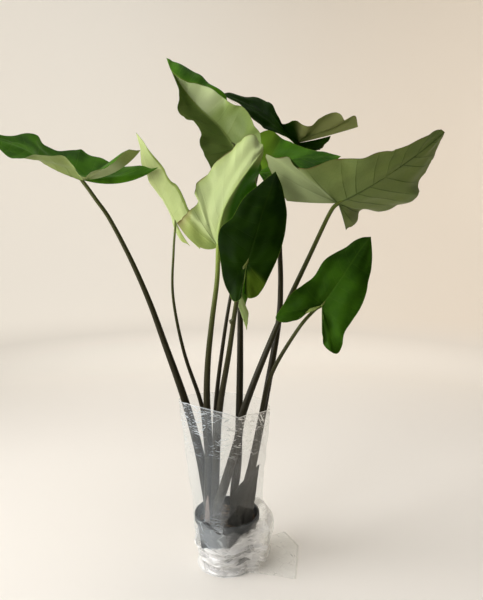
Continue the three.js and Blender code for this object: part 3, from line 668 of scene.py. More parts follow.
def leafUnder():
    material = newMaterial("leafUnder")
    lines, net, toMargin = veinLines(material)
    place = objectPlace(material)
    lightness, yellowness, veinDarkAndShadow = parts(readNumber(material, "tone", "Color"), "Color")
    yellow = maths("ADD", yellowness, between(noise(place, 9, 3), 0.3, 0.7, -0.2, 0.2), clamp=True)
    # the veins' darkness, in part painted shadows of the veins seen through the blade
    darkness = veinDarkAndShadow * between(noise(place, 45, 3), 0.35, 0.6, 0.15, 0.7)
    colour = blend(material, yellow, leafLook["underPale"], leafLook["underYellow"])
    colour = blend(material, net * 0.12, colour, leafLook["underVein"])
    colour = blend(material, maths("MULTIPLY", lines, darkness, clamp=True), colour, leafLook["underVein"])
    colour = markedColour(colour, lightness, toMargin, leafLook["rimUnder"])
    bump = raised(lines * 0.7 + net * 0.3 + noise(place, 700, 2) * 0.2, 0.35, leafLook["bump"])
    gloss = between(readNumber(material, "patch"), 0, 1, leafLook["underGloss"], leafLook["patchGloss"])
    skin = skinOf(colour, bump, leafLook["roughness"], gloss)
    light = blend(material, yellow, leafLook["throughUnder"], leafLook["throughGlow"])
    return finishWith(withLightThrough(skin, leafLook["underThrough"], light, bump))


petiole = {
    "rings": 170, "sides": 28, "taper": 1.5, "footLength": 0.14, "footShare": 0.55, "twist": 0.6,
    "sheathEnd": 0.42, "grooveDepth": 0.32, "grooveWidth": 0.5, "flange": 0.12, "flangeTurn": 0.75,
    "flangeWidth": 0.22, "neckLength": 0.016, "neckShare": 0.35, "neckDrop": 0.35, "joinDrop": 0.5,
    "uneven": 0.03, "nubLength": 0.005,
}
stemLook = {
    "dark": (0.007, 0.0055, 0.001), "brown": (0.020, 0.015, 0.004), "olive": (0.036, 0.034, 0.008),
    "green": (0.27, 0.36, 0.06), "roughness": 0.42, "greening": 7.0, "gloss": 0.17,
    "bump": 0.0006,
}


def alongPath(points, count):
    # evenly spaced points on the smooth curve through the given ones, and the curve's length
    fine = throughPoints(points, np.linspace(0, 1, 900))
    walked = np.append(0, np.cumsum(np.linalg.norm(np.diff(fine, axis=0), axis=1)))
    wanted = np.linspace(0, walked[-1], count)
    return np.stack([np.interp(wanted, walked, fine[:, k]) for k in range(3)], axis=-1), walked[-1]


def tubeRings(centres, radii, angle):
    # rings round a path: C + r(cos a N + sin a B), with N the part of the plant's front across the path
    tangent = unit(np.gradient(centres, axis=0))
    front = np.array([0.0, -1.0, 0.0])
    normal = unit(front - tangent * (tangent @ front)[:, None])
    binormal = np.cross(tangent, normal)
    out = normal[:, None] * np.cos(angle)[:, None] + binormal[:, None] * np.sin(angle)[:, None]
    return centres[:, None] + out * radii[..., None]


def petiolePiece(leaf, number, look):
    # A tube from the soil to the blade's junction: thick and grooved at the foot, where it sheathes
    # the next one, and slim at the neck. Each end closes in one point.
    junction, ahead = np.array(leaf["midrib"][:2]) * mm
    foot, top = leaf["footRadius"] * mm, leaf["topRadius"] * mm
    upward = bladeUpward(leaf)
    neck = junction + unit(ahead - junction) * petiole["neckLength"] - upward * top * petiole["neckDrop"]
    stem = np.vstack([np.array(leaf["stem"]) * mm, junction - upward * top * petiole["joinDrop"], neck])
    centres, length = alongPath(stem, petiole["rings"])
    share = np.linspace(0, 1, petiole["rings"])[:, None]
    radius = top + (foot - top) * (1 - share) ** petiole["taper"]
    widening = smoothStep(0, petiole["footLength"], share)
    radius = radius * (petiole["footShare"] + (1 - petiole["footShare"]) * widening)
    narrowing = smoothStep(1 - 1.4 * petiole["neckLength"] / length, 1, share)
    radius = radius * (1 - (1 - petiole["neckShare"]) * narrowing)
    groovedAt = np.random.default_rng(300 + number).uniform(0, 2 * np.pi)
    angle = circle(petiole["sides"])
    fromGroove = (angle - groovedAt - petiole["twist"] * share + np.pi) % (2 * np.pi) - np.pi
    sheath = 1 - smoothStep(petiole["sheathEnd"] * 0.4, petiole["sheathEnd"], share)
    bell = lambda offset, width: np.exp(-(((fromGroove - offset) / width) ** 2))
    flanges = sum(bell(side * petiole["flangeTurn"], petiole["flangeWidth"]) for side in (1, -1))
    hollow = petiole["grooveDepth"] * bell(0, petiole["grooveWidth"])
    radius = radius * (1 + sheath * (petiole["flange"] * flanges - hollow))
    lumps = np.sin(3 * angle + 5 * share + number) * np.sin(19 * share + number)
    radius = radius * (1 + petiole["uneven"] * lumps)
    if "nub" in leaf:
        place, turn, size = leaf["nub"]
        bump = np.exp(-(((share - place) / petiole["nubLength"]) ** 2))
        radius = radius * (1 + size * bump * np.maximum(0, np.cos(angle - turn)))
    lid = np.ones((1, petiole["sides"], 1))
    rings = np.concatenate([centres[0] * lid, tubeRings(centres, radius, angle), centres[-1] * lid])
    grown = np.concatenate([[0], share[:, 0], [1]])[:, None] * lid[..., 0]
    atSoil, atBlade = leaf["stemGreen"]
    around = np.broadcast_to(angle, grown.shape)
    newPiece(
        f"petiole{number}", rings, gridQuads(len(rings), petiole["sides"], closed=True), [look],
        replaces=[f"petiole_{number}"],
        numbers={"grown": grown, "green": atSoil + (atBlade - atSoil) * grown**stemLook["greening"],
                 "grain": np.stack([np.cos(around), np.sin(around), grown * length], axis=-1)})


def petioleLook():
    material = newMaterial("petioleSkin")
    grain = readNumber(material, "grain", "Vector")
    streaks = noise(stretched(grain, (3.0, 3.0, 12.0)), 2.6, 4, 0.6)
    fine = noise(stretched(grain, (9.0, 9.0, 6.0)), 4, 2)
    colour = blend(material, between(streaks, 0.35, 0.65), stemLook["dark"], stemLook["brown"])
    ageing = between(readNumber(material, "grown"), 0.25, 1.0, 0.0, 0.5)
    colour = blend(material, ageing, colour, stemLook["olive"])
    colour = blend(material, readNumber(material, "green"), colour, stemLook["green"])
    rough = between(streaks, 0.3, 0.7, stemLook["roughness"] - 0.05, stemLook["roughness"] + 0.12)
    return finishWith(skinOf(colour, raised(fine, 0.25, stemLook["bump"]), rough, stemLook["gloss"]))


pot = {
    "height": 0.135, "rimRadius": 0.085, "rimDrop": 0.016, "rimLip": 0.0034, "baseRadius": 0.0625,
    "wall": 0.0016, "floor": 0.003, "sides": 144, "bead": 0.0016, "ribCount": 36, "ribDepth": 0.0003,
    "drainCount": 6, "drainRadius": 0.005, "drainCircle": 0.044,
    "dark": (0.018, 0.021, 0.024), "dusty": (0.055, 0.058, 0.06), "roughness": 0.42, "dustyRoughness": 0.7,
    "bump": 0.0005,
}


def potRadius(z):
    # the outer wall's radius, which grows evenly with height
    return pot["baseRadius"] + (pot["rimRadius"] - pot["rimLip"] - pot["baseRadius"]) * z / pot["height"]


def arc(x, z, radius, first, last, count):
    # points of an arc round (x, z), from one angle to another in degrees
    turns = np.radians(np.linspace(first, last, count))
    return [(x + radius * math.cos(turn), z + radius * math.sin(turn)) for turn in turns]


def potPiece(look):
    # One profile turned about Z: base, wall, rolled rim and inner wall, with faint ribs moulded in
    # the wall, and drain holes cut through the floor
    top, shoulder, bead = pot["height"], pot["height"] - pot["rimDrop"], pot["bead"]
    inner = potRadius(top) - pot["wall"]
    profile = [(0, 0), (0.03, 0), (pot["baseRadius"] - 0.006, 0)]
    profile += arc(pot["baseRadius"] - bead, bead, bead, -90, 0, 5)
    profile += [(potRadius(z), z) for z in np.linspace(0.006, shoulder - 0.001, 16)]
    profile += [(pot["rimRadius"] - bead, shoulder)]
    profile += arc(pot["rimRadius"] - bead, shoulder + bead, bead, -60, 0, 4)
    profile += arc(pot["rimRadius"] - bead, top - bead, bead, 0, 90, 5)
    profile += arc(inner + bead, top - bead, bead, 90, 180, 5)
    profile += [(potRadius(z) - pot["wall"], z) for z in np.linspace(top - 0.004, pot["floor"] + 0.001, 12)]
    profile += [(potRadius(pot["floor"]) - pot["wall"] - 0.001, pot["floor"]), (0, pot["floor"])]
    radius, z = np.array(profile).T[..., None]
    angle = circle(pot["sides"])
    onWall = (z > 0.008) & (z < shoulder - 0.002) & (radius > potRadius(z) - 1e-4)
    ribs = 1 - pot["ribDepth"] / pot["baseRadius"] * onWall * (np.cos(pot["ribCount"] * angle) > 0.3)
    piece = newPiece("nurseryPot", turned(radius * ribs, angle, z),
                     gridQuads(len(profile), pot["sides"], closed=True), [look],
                     replaces=["nursery_pot"], sharpOver=40)
    drill = bmesh.new()
    for turn in circle(pot["drainCount"]):
        made = bmesh.ops.create_cone(drill, cap_ends=True, segments=24, radius1=pot["drainRadius"],
                                     radius2=pot["drainRadius"], depth=4 * pot["floor"])
        bmesh.ops.translate(drill, verts=made["verts"], vec=(
            pot["drainCircle"] * math.cos(turn), pot["drainCircle"] * math.sin(turn), pot["floor"] / 2))
    drillMesh = bpy.data.meshes.new("drill")
    drill.to_mesh(drillMesh)
    drill.free()
    drillObject = newObject("drill", drillMesh)
    cut = piece.modifiers.new("drains", "BOOLEAN")
    cut.object, cut.operation, cut.solver = drillObject, "DIFFERENCE", "EXACT"
    made = bpy.data.meshes.new_from_object(piece.evaluated_get(bpy.context.evaluated_depsgraph_get()))
    piece.modifiers.clear()
    piece.data = made
    bpy.data.objects.remove(drillObject)


def potLook():
    material = newMaterial("potPlastic")
    place = objectPlace(material)
    dust = between(noise(place, 30, 5, 0.6), 0.42, 0.72)
    colour = blend(material, dust, pot["dark"], pot["dusty"])
    rough = between(dust, 0, 1, pot["roughness"], pot["dustyRoughness"], smooth=False)
    return finishWith(skinOf(colour, raised(noise(place, 700, 2), 0.12, pot["bump"]), rough))


soil = {
    "level": 0.112, "dome": 0.005, "rings": 70, "sides": 160, "lump": 0.0022, "crumbs": 520, "gap": 0.0006,
    "crumbSize": (0.0012, 0.0045), "crumbSides": ((0.8, 2.2), (0.5, 1), (0.3, 0.7)), "bump": 0.0012,
    "dark": (0.020, 0.013, 0.008), "brown": (0.085, 0.055, 0.034), "fibre": (0.22, 0.15, 0.09),
    "lumpScales": (70, 160, 390),
}


def soilRadius(z):
    # just clear of the pot's inner wall
    return potRadius(z) - pot["wall"] - soil["gap"]


def soilHeight(x, y):
    # a low dome with three sizes of lumps
    distance = np.hypot(x, y) / soilRadius(soil["level"])
    lumps = sum(creasedHeights(x * scale + 30, y * scale + 30, 40 + place) / (place + 1)
                for place, scale in enumerate(soil["lumpScales"]))
    lumps = soil["lump"] * lumps * smoothStep(1.02, 0.9, distance)
    return soil["level"] + soil["dome"] * (1 - distance**2) + lumps


def soilPiece(look):
    # a disc of lumpy soil with a closed body down to the pot's floor
    share = (np.arange(soil["rings"] + 1) / soil["rings"])[:, None] ** 0.8
    angle = circle(soil["sides"])
    reach = share * soilRadius(soil["level"])
    crown = turned(reach, angle, soilHeight(reach * np.cos(angle), reach * np.sin(angle)))
    low = pot["floor"] + 0.0003
    sides = [(soilRadius(z), z) for z in np.linspace(soil["level"] * 0.8, low, 6)] + [(0, low)]
    radius, z = np.array(sides).T[..., None]
    points = np.concatenate([crown, turned(radius, angle, z)])
    quads = gridQuads(len(points), soil["sides"], closed=True)[:, ::-1]
    newPiece("pottingSoil", points, quads, [look], replaces=["potting_soil"])


def crumbsPiece(look):
    # crumbs and bits of fibre that lie on the soil: small stretched eight-sided lumps
    rng = np.random.default_rng(77)
    count = soil["crumbs"]
    reach = soilRadius(soil["level"]) * 0.94 * np.sqrt(rng.uniform(0.02, 1, count))
    turn = rng.uniform(0, 2 * np.pi, count)
    x, y = reach * np.cos(turn), reach * np.sin(turn)
    size = rng.uniform(*soil["crumbSize"], count)[:, None, None]
    corners = np.array([[1, 0, 0], [0, 1, 0], [-1, 0, 0], [0, -1, 0], [0, 0, 1], [0, 0, -1]], float)
    stretch = rng.uniform(0.4, 1.3, (count, 6, 1))
    sides = np.stack([rng.uniform(*ends, count) for ends in soil["crumbSides"]], axis=-1)
    along, aside, up = np.moveaxis(corners * (stretch * sides[:, None]) * size, -1, 0)
    spin = rng.uniform(0, 2 * np.pi, count)[:, None]
    lumps = np.stack([along * np.cos(spin) - aside * np.sin(spin),
                      along * np.sin(spin) + aside * np.cos(spin), up], axis=-1)
    points = lumps + np.stack([x, y, soilHeight(x, y) + size[:, 0, 0] * 0.25], axis=-1)[:, None]
    faces = np.array([[0, 1, 4], [1, 2, 4], [2, 3, 4], [3, 0, 4],
                      [1, 0, 5], [2, 1, 5], [3, 2, 5], [0, 3, 5]])
    triangles = (faces + 6 * np.arange(count)[:, None, None]).reshape(-1, 3)
    pale = np.repeat(rng.uniform(0, 1, count) ** 2, 6)
    newPiece("soilCrumbs", points, triangles, [look], numbers={"pale": pale}, merge=False)


def soilLook(name, crumb):
    material = newMaterial(name)
    place = objectPlace(material)
    colour = blend(material, between(noise(place, 130, 6, 0.7), 0.35, 0.68), soil["dark"], soil["brown"])
    if crumb:
        colour = blend(material, readNumber(material, "pale"), colour, soil["fibre"])
    return finishWith(skinOf(colour, raised(noise(place, 800, 4, 0.7), 0.8, soil["bump"]), 0.95, 0.2))


drySheath = {
    "rows": 60, "columns": 24, "thickness": 0.0006, "wrinkle": 0.0016, "fullWidth": 0.03, "pleats": 21,
    "bump": 0.001,
    "dark": (0.005, 0.005, 0.0025), "brown": (0.022, 0.019, 0.010), "pink": (0.38, 0.27, 0.22),
}
drySheaths = [
    dict(left=[[4, -32, 92], [6, -34, 140], [18, -39, 204], [80, -31, 274]],
         middle=[[34, -42, 92], [36, -44, 136], [48, -44, 192], [82, -32, 276]],
         right=[[60, -34, 92], [66, -32, 130], [72, -34, 184], [84, -32, 278]], pale=0.0),
    dict(left=[[-55, -36, 92], [-56, -38, 130], [-53, -40, 170], [-49, -42, 196]],
         middle=[[-49, -40, 92], [-50, -42, 130], [-49, -44, 170], [-47, -44, 200]],
         right=[[-43, -42, 92], [-43, -44, 130], [-44, -46, 170], [-46, -46, 197]], pale=1.0),
]


def drySheathPiece(shape, number, look):
    # A sheet through three lines L, M and R that rise from the soil, pleated along its length:
    # (1 - u)(1 - 2u) L + 4u(1 - u) M + u(2u - 1) R
    down, across = (np.linspace(0, 1, drySheath[key]) for key in ("rows", "columns"))
    v, u = np.meshgrid(down, across, indexing="ij")
    left, middle, right = (throughPoints(np.array(shape[side]) * mm, v)
                           for side in ("left", "middle", "right"))
    weights = ((1 - u) * (1 - 2 * u), 4 * u * (1 - u), u * (2 * u - 1))
    points = sum(weight[..., None] * line for weight, line in zip(weights, (left, middle, right)))
    width = np.linalg.norm(right - left, axis=-1)
    pleats = np.sin(drySheath["pleats"] * u + 3 * number) * 0.6 + creasedHeights(u * 6, v * 9, 60 + number)
    pleats = drySheath["wrinkle"] * pleats * np.minimum(1, width / drySheath["fullWidth"])
    normal = unit(np.cross(np.gradient(points, axis=1), np.gradient(points, axis=0)))
    half = drySheath["thickness"] / 2
    body, quads = closedSheet(*(points + normal * (pleats + side * half)[..., None] for side in (1, -1)))
    grain = np.stack([u * 30, v * 3, np.full_like(u, number)], axis=-1)
    newPiece(f"drySheath{number}", body, quads, [look], replaces=[f"dry_sheath_{number}"],
             numbers={"grain": np.concatenate([grain, grain]), "pale": np.full(len(body), shape["pale"])})


def drySheathLook():
    material = newMaterial("dryHusk")
    streaks = noise(readNumber(material, "grain", "Vector"), 1.0, 5, 0.65)
    colour = blend(material, between(streaks, 0.35, 0.7), drySheath["dark"], drySheath["brown"])
    pale = blend(material, between(streaks, 0.3, 0.7), drySheath["brown"], drySheath["pink"])
    colour = blend(material, readNumber(material, "pale"), colour, pale)
    return finishWith(skinOf(colour, raised(streaks, 0.5, drySheath["bump"]), 0.75))


# the film's haze colours paint a bluish reflection and warm shade, and its stroke, border and rim veils
# paint glints and an edge highlight
sleeve = {
    "rows": 230, "columns": 300, "foldSides": 12, "foldHeight": 0.0075, "foldDepth": 0.0058,
    "clearance": 0.0012, "underRim": 0.116, "cornerFrom": 0.079, "cornerWidth": 0.12,
    "hazeAndReflection": (0.84, 0.92, 0.98), "warmHazeAndShade": (0.91, 0.89, 0.84), "foldWhite": (0.97, 0.97, 0.96),
    "tint": (0.97, 0.98, 0.98), "roughness": 0.16, "gloss": 0.8,
    "veil": 0.16, "edgeVeil": 0.06, "creaseGlintVeil": 0.34, "foldVeil": 0.86, "glintVeil": 0.95,
    "rimHighlightVeil": 0.75, "through": 0.30, "glintThrough": 0.55, "bump": 0.003, "wanderScale": 22,
    "wander": 0.02, "facets": 15, "borders": 27, "borderWidth": 0.035, "pleats": (34, 34, 105),
}
# how high the white folds reach round the pot: degrees and millimetres
foldTop = [[-180, 74], [-160, 60], [-119, 72], [-83, 80], [-66, 106], [-38, 124], [-11, 142], [60, 120],
           [180, 74]]
# sets of painted glints along creases: how long and how thin one is, in metres, its tilt in degrees, and
# how rare it is
glintStrokes = [(0.030, 0.0034, 9, 0.64), (0.020, 0.0026, -24, 0.65), (0.040, 0.0042, 55, 0.69),
           (0.015, 0.0022, 3, 0.66)]
# the corner that lies on the floor, with straight edges: degrees round the pot, metres from its middle
looseCorner = np.array([[-60, 0.079], [-45.7, 0.080], [-28.9, 0.145], [-25.8, 0.194], [-2.2, 0.188],
                        [17.8, 0.208], [39.4, 0.214], [62, 0.079]])
# how far the film's top stands above or below its mean height: degrees and millimetres
topLine = [[-180, 8], [-160, 15], [-140, 19], [-120, 18], [-105, 14], [-84, 6], [-72, -5], [-60, 0],
           [0, -10], [90, -4], [180, 8]]
# at heights up the film, all in millimetres: the height, its middle to the right, its half width and
# half depth, the size of its creases and how far the loose corner is drawn out
film = np.array([
    [0.4, 0, 79, 79, 2.0, 120], [0.4, 0, 74, 74, 3.0, 78], [6, 0, 76, 76, 3.5, 50],
    [16, 0, 71, 71, 3.5, 44], [30, 0, 78, 78, 4.0, 36], [44, 0, 74, 74, 4.0, 36],
    [60, 0, 82, 82, 3.5, 34], [76, 0, 79, 79, 3.0, 38], [96, 0, 85, 85, 2.5, 42],
    [116, 0, 88, 88, 1.6, 34], [140, 0, 88.5, 88.5, 1.4, 18], [170, 0, 90, 89, 1.8, 3],
    [210, 0, 94, 90, 2.4, 0], [256, -1, 99, 91, 2.8, 0], [298, -2, 104, 94, 2.8, 0],
    [340, -2, 109, 98, 2.6, 0], [386, -4, 113, 102, 2.6, 0], [428, -5, 117, 106, 2.4, 0]])


def cornerReach(degrees):
    # How far the loose corner is drawn out, from 0 to a little over 1. Its edge between two corners
    # (a, R) and (b, S) is straight: R S sin(b - a) / (R sin(t - a) + S sin(b - t)).
    place = np.clip(np.searchsorted(looseCorner[:, 0], degrees) - 1, 0, len(looseCorner) - 2)
    (fromTurn, fromReach), (toTurn, toReach) = (np.moveaxis(looseCorner[place + k], -1, 0) for k in (0, 1))
    fromTurn, toTurn, turn = np.radians(fromTurn), np.radians(toTurn), np.radians(degrees)
    reach = fromReach * toReach * np.sin(toTurn - fromTurn) / (
        fromReach * np.sin(turn - fromTurn) + toReach * np.sin(toTurn - turn))
    inside = (degrees > looseCorner[0, 0]) & (degrees < looseCorner[-1, 0])
    return np.where(inside, np.clip((reach - sleeve["cornerFrom"]) / sleeve["cornerWidth"], 0, 1.15), 0)


def sleevePiece(look):
    # a tube of film: an oval at each height, creased in facets, with a corner drawn out over the floor
    v, column = np.meshgrid(np.linspace(0, 1, sleeve["rows"]), np.arange(sleeve["columns"]), indexing="ij")
    angle = 2 * np.pi * column / sleeve["columns"]
    z, middle, width, depth, crease, swing = np.moveaxis(throughPoints(film * mm, v), -1, 0)
    z = np.maximum(z, 0.0004)
    degrees = (np.degrees(angle) + 180) % 360 - 180
    corner = cornerReach(degrees)
    loose = corner * smoothStep(0.02, 0.06, swing)
    low = 1 - smoothStep(0.055, 0.085, z)
    rise = v * (len(film) - 1)
    broad = creasedHeights(10 * angle / (2 * np.pi) + 0.35 * rise, rise * 0.8, 5, count=10)
    narrow = creasedHeights(32 * angle / (2 * np.pi) - 0.6 * rise, rise * 1.9, 6, count=32)
    fine = creasedHeights(90 * angle / (2 * np.pi) + 1.1 * rise, rise * 4.2, 7, count=90)
    layer = z / sleeve["foldHeight"] + 0.9 * np.sin(2 * angle)
    folded = creasedHeights(sleeve["foldSides"] * angle / (2 * np.pi), layer, 8, count=sleeve["foldSides"])
    creases = crease * ((0.9 * broad + 0.45 * narrow + 0.14 * fine) * (1 - 0.5 * low))
    folds = sleeve["foldDepth"] * folded * low * smoothStep(0, 0.004, z)
    out = (creases + folds) * (1 - 0.7 * loose) + np.maximum(swing, 0) * corner
    potSide = np.where(z > sleeve["underRim"], pot["rimRadius"], potRadius(z)) + sleeve["clearance"]
    keepOff = np.where(z < pot["height"] + 0.004, potSide, 0)
    reachX, reachY = np.maximum(width + out, keepOff), np.maximum(depth + out, keepOff)
    topWave = np.interp(degrees, *np.transpose(topLine)) * mm * smoothStep(0.8, 1, v)
    points = np.stack([middle + reachX * np.cos(angle), reachY * np.sin(angle), z + topWave], axis=-1)
    upTo = np.interp(degrees, *np.transpose(foldTop)) * mm + 0.004 * narrow
    soft = 0.003 + 0.25 * np.maximum(0, upTo - 0.075)
    gathered = (1 - smoothStep(upTo - soft, upTo + soft, z)) * (1 - 0.9 * smoothStep(0.1, 0.5, loose))
    # the pale top edge, strong along the front and faint behind, and the hem of the loose corner: in part a
    # painted edge highlight
    rim = smoothStep(0.9965, 1, v) * np.where(np.sin(angle) < 0.1, 1, 0.08)
    rim = np.maximum(rim, (1 - smoothStep(0, 0.009, v)) * smoothStep(0.1, 0.4, loose))
    quads = gridQuads(sleeve["rows"], sleeve["columns"], closed=True)
    return newPiece("clearSleeve", points, quads, [look], replaces=["clear_sleeve"],
                    sharpOver=18, merge=False, numbers={"gathered": gathered, "rim": rim, "loose": loose})


def glintStrokesOn(bent, shown):
    # painted white glints: the peaks of a noise that is stretched along each set of creases
    glint = 0.0
    for long, thin, tilt, rare in glintStrokes:
        lean = math.radians(tilt)
        spot = add(bent.material, "ShaderNodeMapping",
                   {"Vector": bent, "Rotation": (0, lean, lean), "Scale": (long, long, thin)},
                   vector_type="TEXTURE")
        glint = larger(glint, between(noise(spot, 1.0, 1), rare, rare + 0.05) * shown)
    return glint


def filmLook():
    # Mostly clear, with painted white glints where the film is creased. It is milkier at its edges, where
    # it is gathered and along its top, whose pale edge is in part a painted highlight.
    material = newMaterial("clearFilm")
    place = objectPlace(material)
    x, y, z = parts(place)
    gathered = readNumber(material, "gathered")
    spread = between(readNumber(material, "loose"), 0.05, 0.5)
    vectors = lambda operation, inputs: add(material, "ShaderNodeVectorMath", inputs, operation=operation)
    wander = noise(place, sleeve["wanderScale"], 2, output="Color")
    wander = vectors("SUBTRACT", {0: wander, 1: (0.5, 0.5, 0.5)})
    wander = vectors("SCALE", {0: wander, "Scale": sleeve["wander"]})
    bent = vectors("ADD", {0: place, 1: wander})

    # painted glints show in clusters near the top of the front, and among the folds
    upper = between(z, 0.30, 0.375, 0.06, 1.0) * between(y, 0.0, 0.04, 1.0, 0.0)
    shown = larger(upper * between(noise(place, 13, 2), 0.36, 0.52), gathered * 0.8)
    glint = glintStrokesOn(bent, shown * between(spread, 0, 1, 1, 0.1))

    # Facets differ in how cloudy they are, which in part paints their differing reflections, and most round
    # the pot. Low down they are cloudier on the left than on the right, a painted light from the left, and
    # they are clearer in front of the dark sheath, which paints the shade inside the pot.
    facet = add(material, "ShaderNodeTexVoronoi", {"Vector": bent, "Scale": sleeve["facets"]}, "Color")
    flat = between(spread, 0, 1, 1, 0.5)
    cloudAndLight = parts(facet, "Color")[0] * between(z, 0.16, 0.23, 2.0, 0.5) + between(z, 0.16, 0.23, 0.05, 0.85)
    cloudAndLight = cloudAndLight * between(x, -0.11, -0.02, 0.5, 1.0) * flat
    # painted light from the left: low on the film the veil is thicker on the left and thinner on the right
    cloudAndLight = cloudAndLight * (between(x, -0.01, 0.02, 0.6, -0.5) * between(z, 0.11, 0.15, 1.0, 0.0) + 1.0)
    # painted shade: the veil is thinner, so darker, in front of the dark sheath
    shadeMask = between(x, -0.016, 0.012) * between(z, 0.13, 0.15) * between(z, 0.20, 0.27, 1.0, 0.0)
    cloudAndLight = cloudAndLight * between(shadeMask, 0.0, 1.0, 1.0, 0.4, smooth=False)

    # pale creases run along some borders of smaller facets, low on the film, in part painted glints
    creaseGlint = add(material, "ShaderNodeTexVoronoi", {"Vector": place, "Scale": sleeve["borders"]},
                 feature="DISTANCE_TO_EDGE")
    creaseGlint = between(creaseGlint, 0.0, sleeve["borderWidth"], 1.0, 0.0) * between(noise(place, 40, 2), 0.42, 0.6)
    creaseGlint = creaseGlint * between(z, 0.12, 0.17, sleeve["creaseGlintVeil"], 0.0) * flat

    facing = add(material, "ShaderNodeLayerWeight", {"Blend": 0.35}, "Facing")
    pleat = add(material, "ShaderNodeTexVoronoi",
                {"Vector": stretched(bent, sleeve["pleats"]), "Scale": 1.0}, "Color")
    crumple = between(parts(pleat, "Color")[1], 0.0, 0.8, 0.45, 1.15, smooth=False)
    veil = cloudAndLight * sleeve["veil"] + creaseGlint + between(facing, 0.35, 1.0, 0.0, sleeve["edgeVeil"])
    veil = veil + gathered * crumple * sleeve["foldVeil"] + glint * sleeve["glintVeil"]
    # the pale edges, in part a painted highlight
    veil = maths("ADD", veil, readNumber(material, "rim") * sleeve["rimHighlightVeil"], clamp=True)

    # painted reflection and shade: the haze is bluish on the left, where the film reflects, and warm on the
    # right
    hazeAndReflection = blend(material, between(x, -0.05, 0.06), sleeve["hazeAndReflection"], sleeve["warmHazeAndShade"])
    hazeAndReflection = blend(material, gathered, hazeAndReflection, sleeve["foldWhite"])
    bump = raised(glint + noise(bent, 60, 3), 0.5, sleeve["bump"])
    share = between(glint, 0, 1, sleeve["through"], sleeve["glintThrough"])
    body = withLightThrough(skinOf(hazeAndReflection, bump, sleeve["roughness"], sleeve["gloss"]), share, hazeAndReflection, bump)
    clear = add(material, "ShaderNodeBsdfTransparent", {"Color": sleeve["tint"]})
    return finishWith(add(material, "ShaderNodeMixShader", {0: veil, 1: clear, 2: body}))


# the studio: floor and wall in one bowl, window light from the left
studio = {
    "floorRadius": 2.2, "bend": 1.2, "height": 4.2, "sides": 96,
    "floor": (0.86, 0.83, 0.78), "wall": (0.55, 0.51, 0.46), "dark": (0.10, 0.095, 0.088),
    "roughness": 0.85,
    "glowLeft": (0.78, 0.74, 0.66), "glowRight": (0.54, 0.445, 0.33), "glow": 0.56, "floorGlow": 0.6,
    "world": (1.0, 0.99, 0.97), "worldStrength": 0.1,
}
# name, place, target, size, power, colour and the angle its light spreads over, in degrees
lamps = [
    ("window", (-3.0, -0.64, 1.5), (0.0, 0.0, 1.0), (2.0, 1.5), 31, (1.0, 0.985, 0.975), 90),
    ("ceiling", (0.0, 0.0, 3.9), (0.0, 0.001, 0.0), (3.2, 3.2), 71, (1.0, 0.985, 0.97), 180),
    ("fill", (-1.7, -2.0, 0.95), (0.0, 0.0, 0.75), (1.0, 1.1), 26, (1.0, 0.985, 0.97), 180),
    ("beam", (-1.75, -1.85, 0.85), (0.0, 0.02, 1.13), (0.25, 0.25), 95, (1.0, 0.99, 0.98), 16),
]
camera = {"place": (0.038, -1.3025, 0.830), "downward": 6.0, "lens": 31.2, "sensor": 36.0}


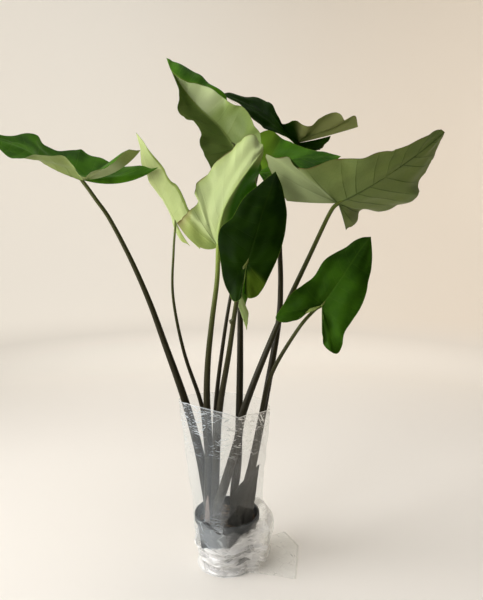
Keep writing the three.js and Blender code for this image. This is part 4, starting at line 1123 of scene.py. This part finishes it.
def bowlPiece():
    # Floor, a quarter round and the wall as one profile turned about Z. The wall behind the plant and
    # the far floor glow with painted light, paler on the left, and the wall in front is darker.
    turns = np.radians(np.linspace(0, 90, 28))
    radius = np.concatenate([[0, 0.5, 1.2], studio["floorRadius"] + studio["bend"] * np.sin(turns)])
    radius = np.append(radius, radius[-1])[:, None]
    height = np.concatenate([[0, 0, 0], studio["bend"] * (1 - np.cos(turns)), [studio["height"]]])[:, None]
    mesh = bpy.data.meshes.new("bowl")
    mesh.from_pydata(turned(radius, circle(studio["sides"]), height).reshape(-1, 3), [],
                     gridQuads(len(radius), studio["sides"], closed=True))
    mergeDoubles(mesh, 1e-5)
    mesh.polygons.foreach_set("use_smooth", np.ones(len(mesh.polygons), bool))
    material = newMaterial("plaster")
    x, y, z = parts(objectPlace(material))
    behind, upright = between(y, -1.0, 1.2), between(z, 0.0, 0.3)
    wall = blend(material, behind, studio["dark"], studio["wall"])
    colour = blend(material, upright, studio["floor"], wall)
    # painted light: the glow is paler on the left and warmer on the right, and strongest on the wall behind
    # the plant
    light = blend(material, between(x, -1.4, 2.0), studio["glowLeft"], studio["glowRight"])
    amount = behind * larger(upright, between(y, 0.8, 3.0, 0.0, studio["floorGlow"])) * studio["glow"]
    mesh.materials.append(finishWith(add(material, "ShaderNodeBsdfPrincipled", {
        "Base Color": colour, "Emission Color": light, "Emission Strength": amount,
        "Roughness": studio["roughness"]})))
    bowl = newObject("bowl", mesh)


def lightsAndCamera():
    scene = bpy.context.scene
    for name, place, target, size, power, colour, spread in lamps:
        data = bpy.data.lights.new(name, "SPOT" if name == "beam" else "AREA")
        data.energy, data.color = power, colour
        if name == "beam":
            data.spot_size, data.spot_blend, data.shadow_soft_size = math.radians(spread), 1.0, size[0]
        else:
            data.shape, data.size, data.size_y, data.spread = "RECTANGLE", *size, math.radians(spread)
        lamp = newObject(name, data)
        lamp.visible_camera = False
        lamp.location = place
        right, ahead, up = np.array(target) - np.array(place)
        tilt, turn = math.atan2(math.hypot(right, ahead), -up), math.atan2(ahead, right) - math.pi / 2
        lamp.rotation_euler = (tilt, 0, turn)
    world = bpy.data.worlds.new("room")
    world.use_nodes = True
    background = world.node_tree.nodes["Background"].inputs
    background["Color"].default_value = (*studio["world"], 1)
    background["Strength"].default_value = studio["worldStrength"]
    scene.world = world
    lens = bpy.data.cameras.new("camera")
    lens.lens, lens.sensor_width, lens.sensor_fit = camera["lens"], camera["sensor"], "AUTO"
    view = newObject("camera", lens)
    view.location = camera["place"]
    view.rotation_euler = (math.radians(90 - camera["downward"]), 0, 0)
    scene.camera = view
    scene.view_settings.view_transform = "Standard"


lightsAndCamera()
bowlPiece()
print("studio made")

topLook, underLook, stemSkin = leafTop(), leafUnder(), petioleLook()
for number, leaf in enumerate(leaves, start=1):
    bladePiece(leaf, number, topLook, underLook)
    petiolePiece(leaf, number, stemSkin)
    print("leaf", number, "made")

potPiece(potLook())
soilPiece(soilLook("soil", False))
crumbsPiece(soilLook("soilCrumb", True))
husk = drySheathLook()
for number, shape in enumerate(drySheaths, start=1):
    drySheathPiece(shape, number, husk)
print("pot, soil and dried sheaths made")

filmSheet = sleevePiece(filmLook())
print("sleeve made")
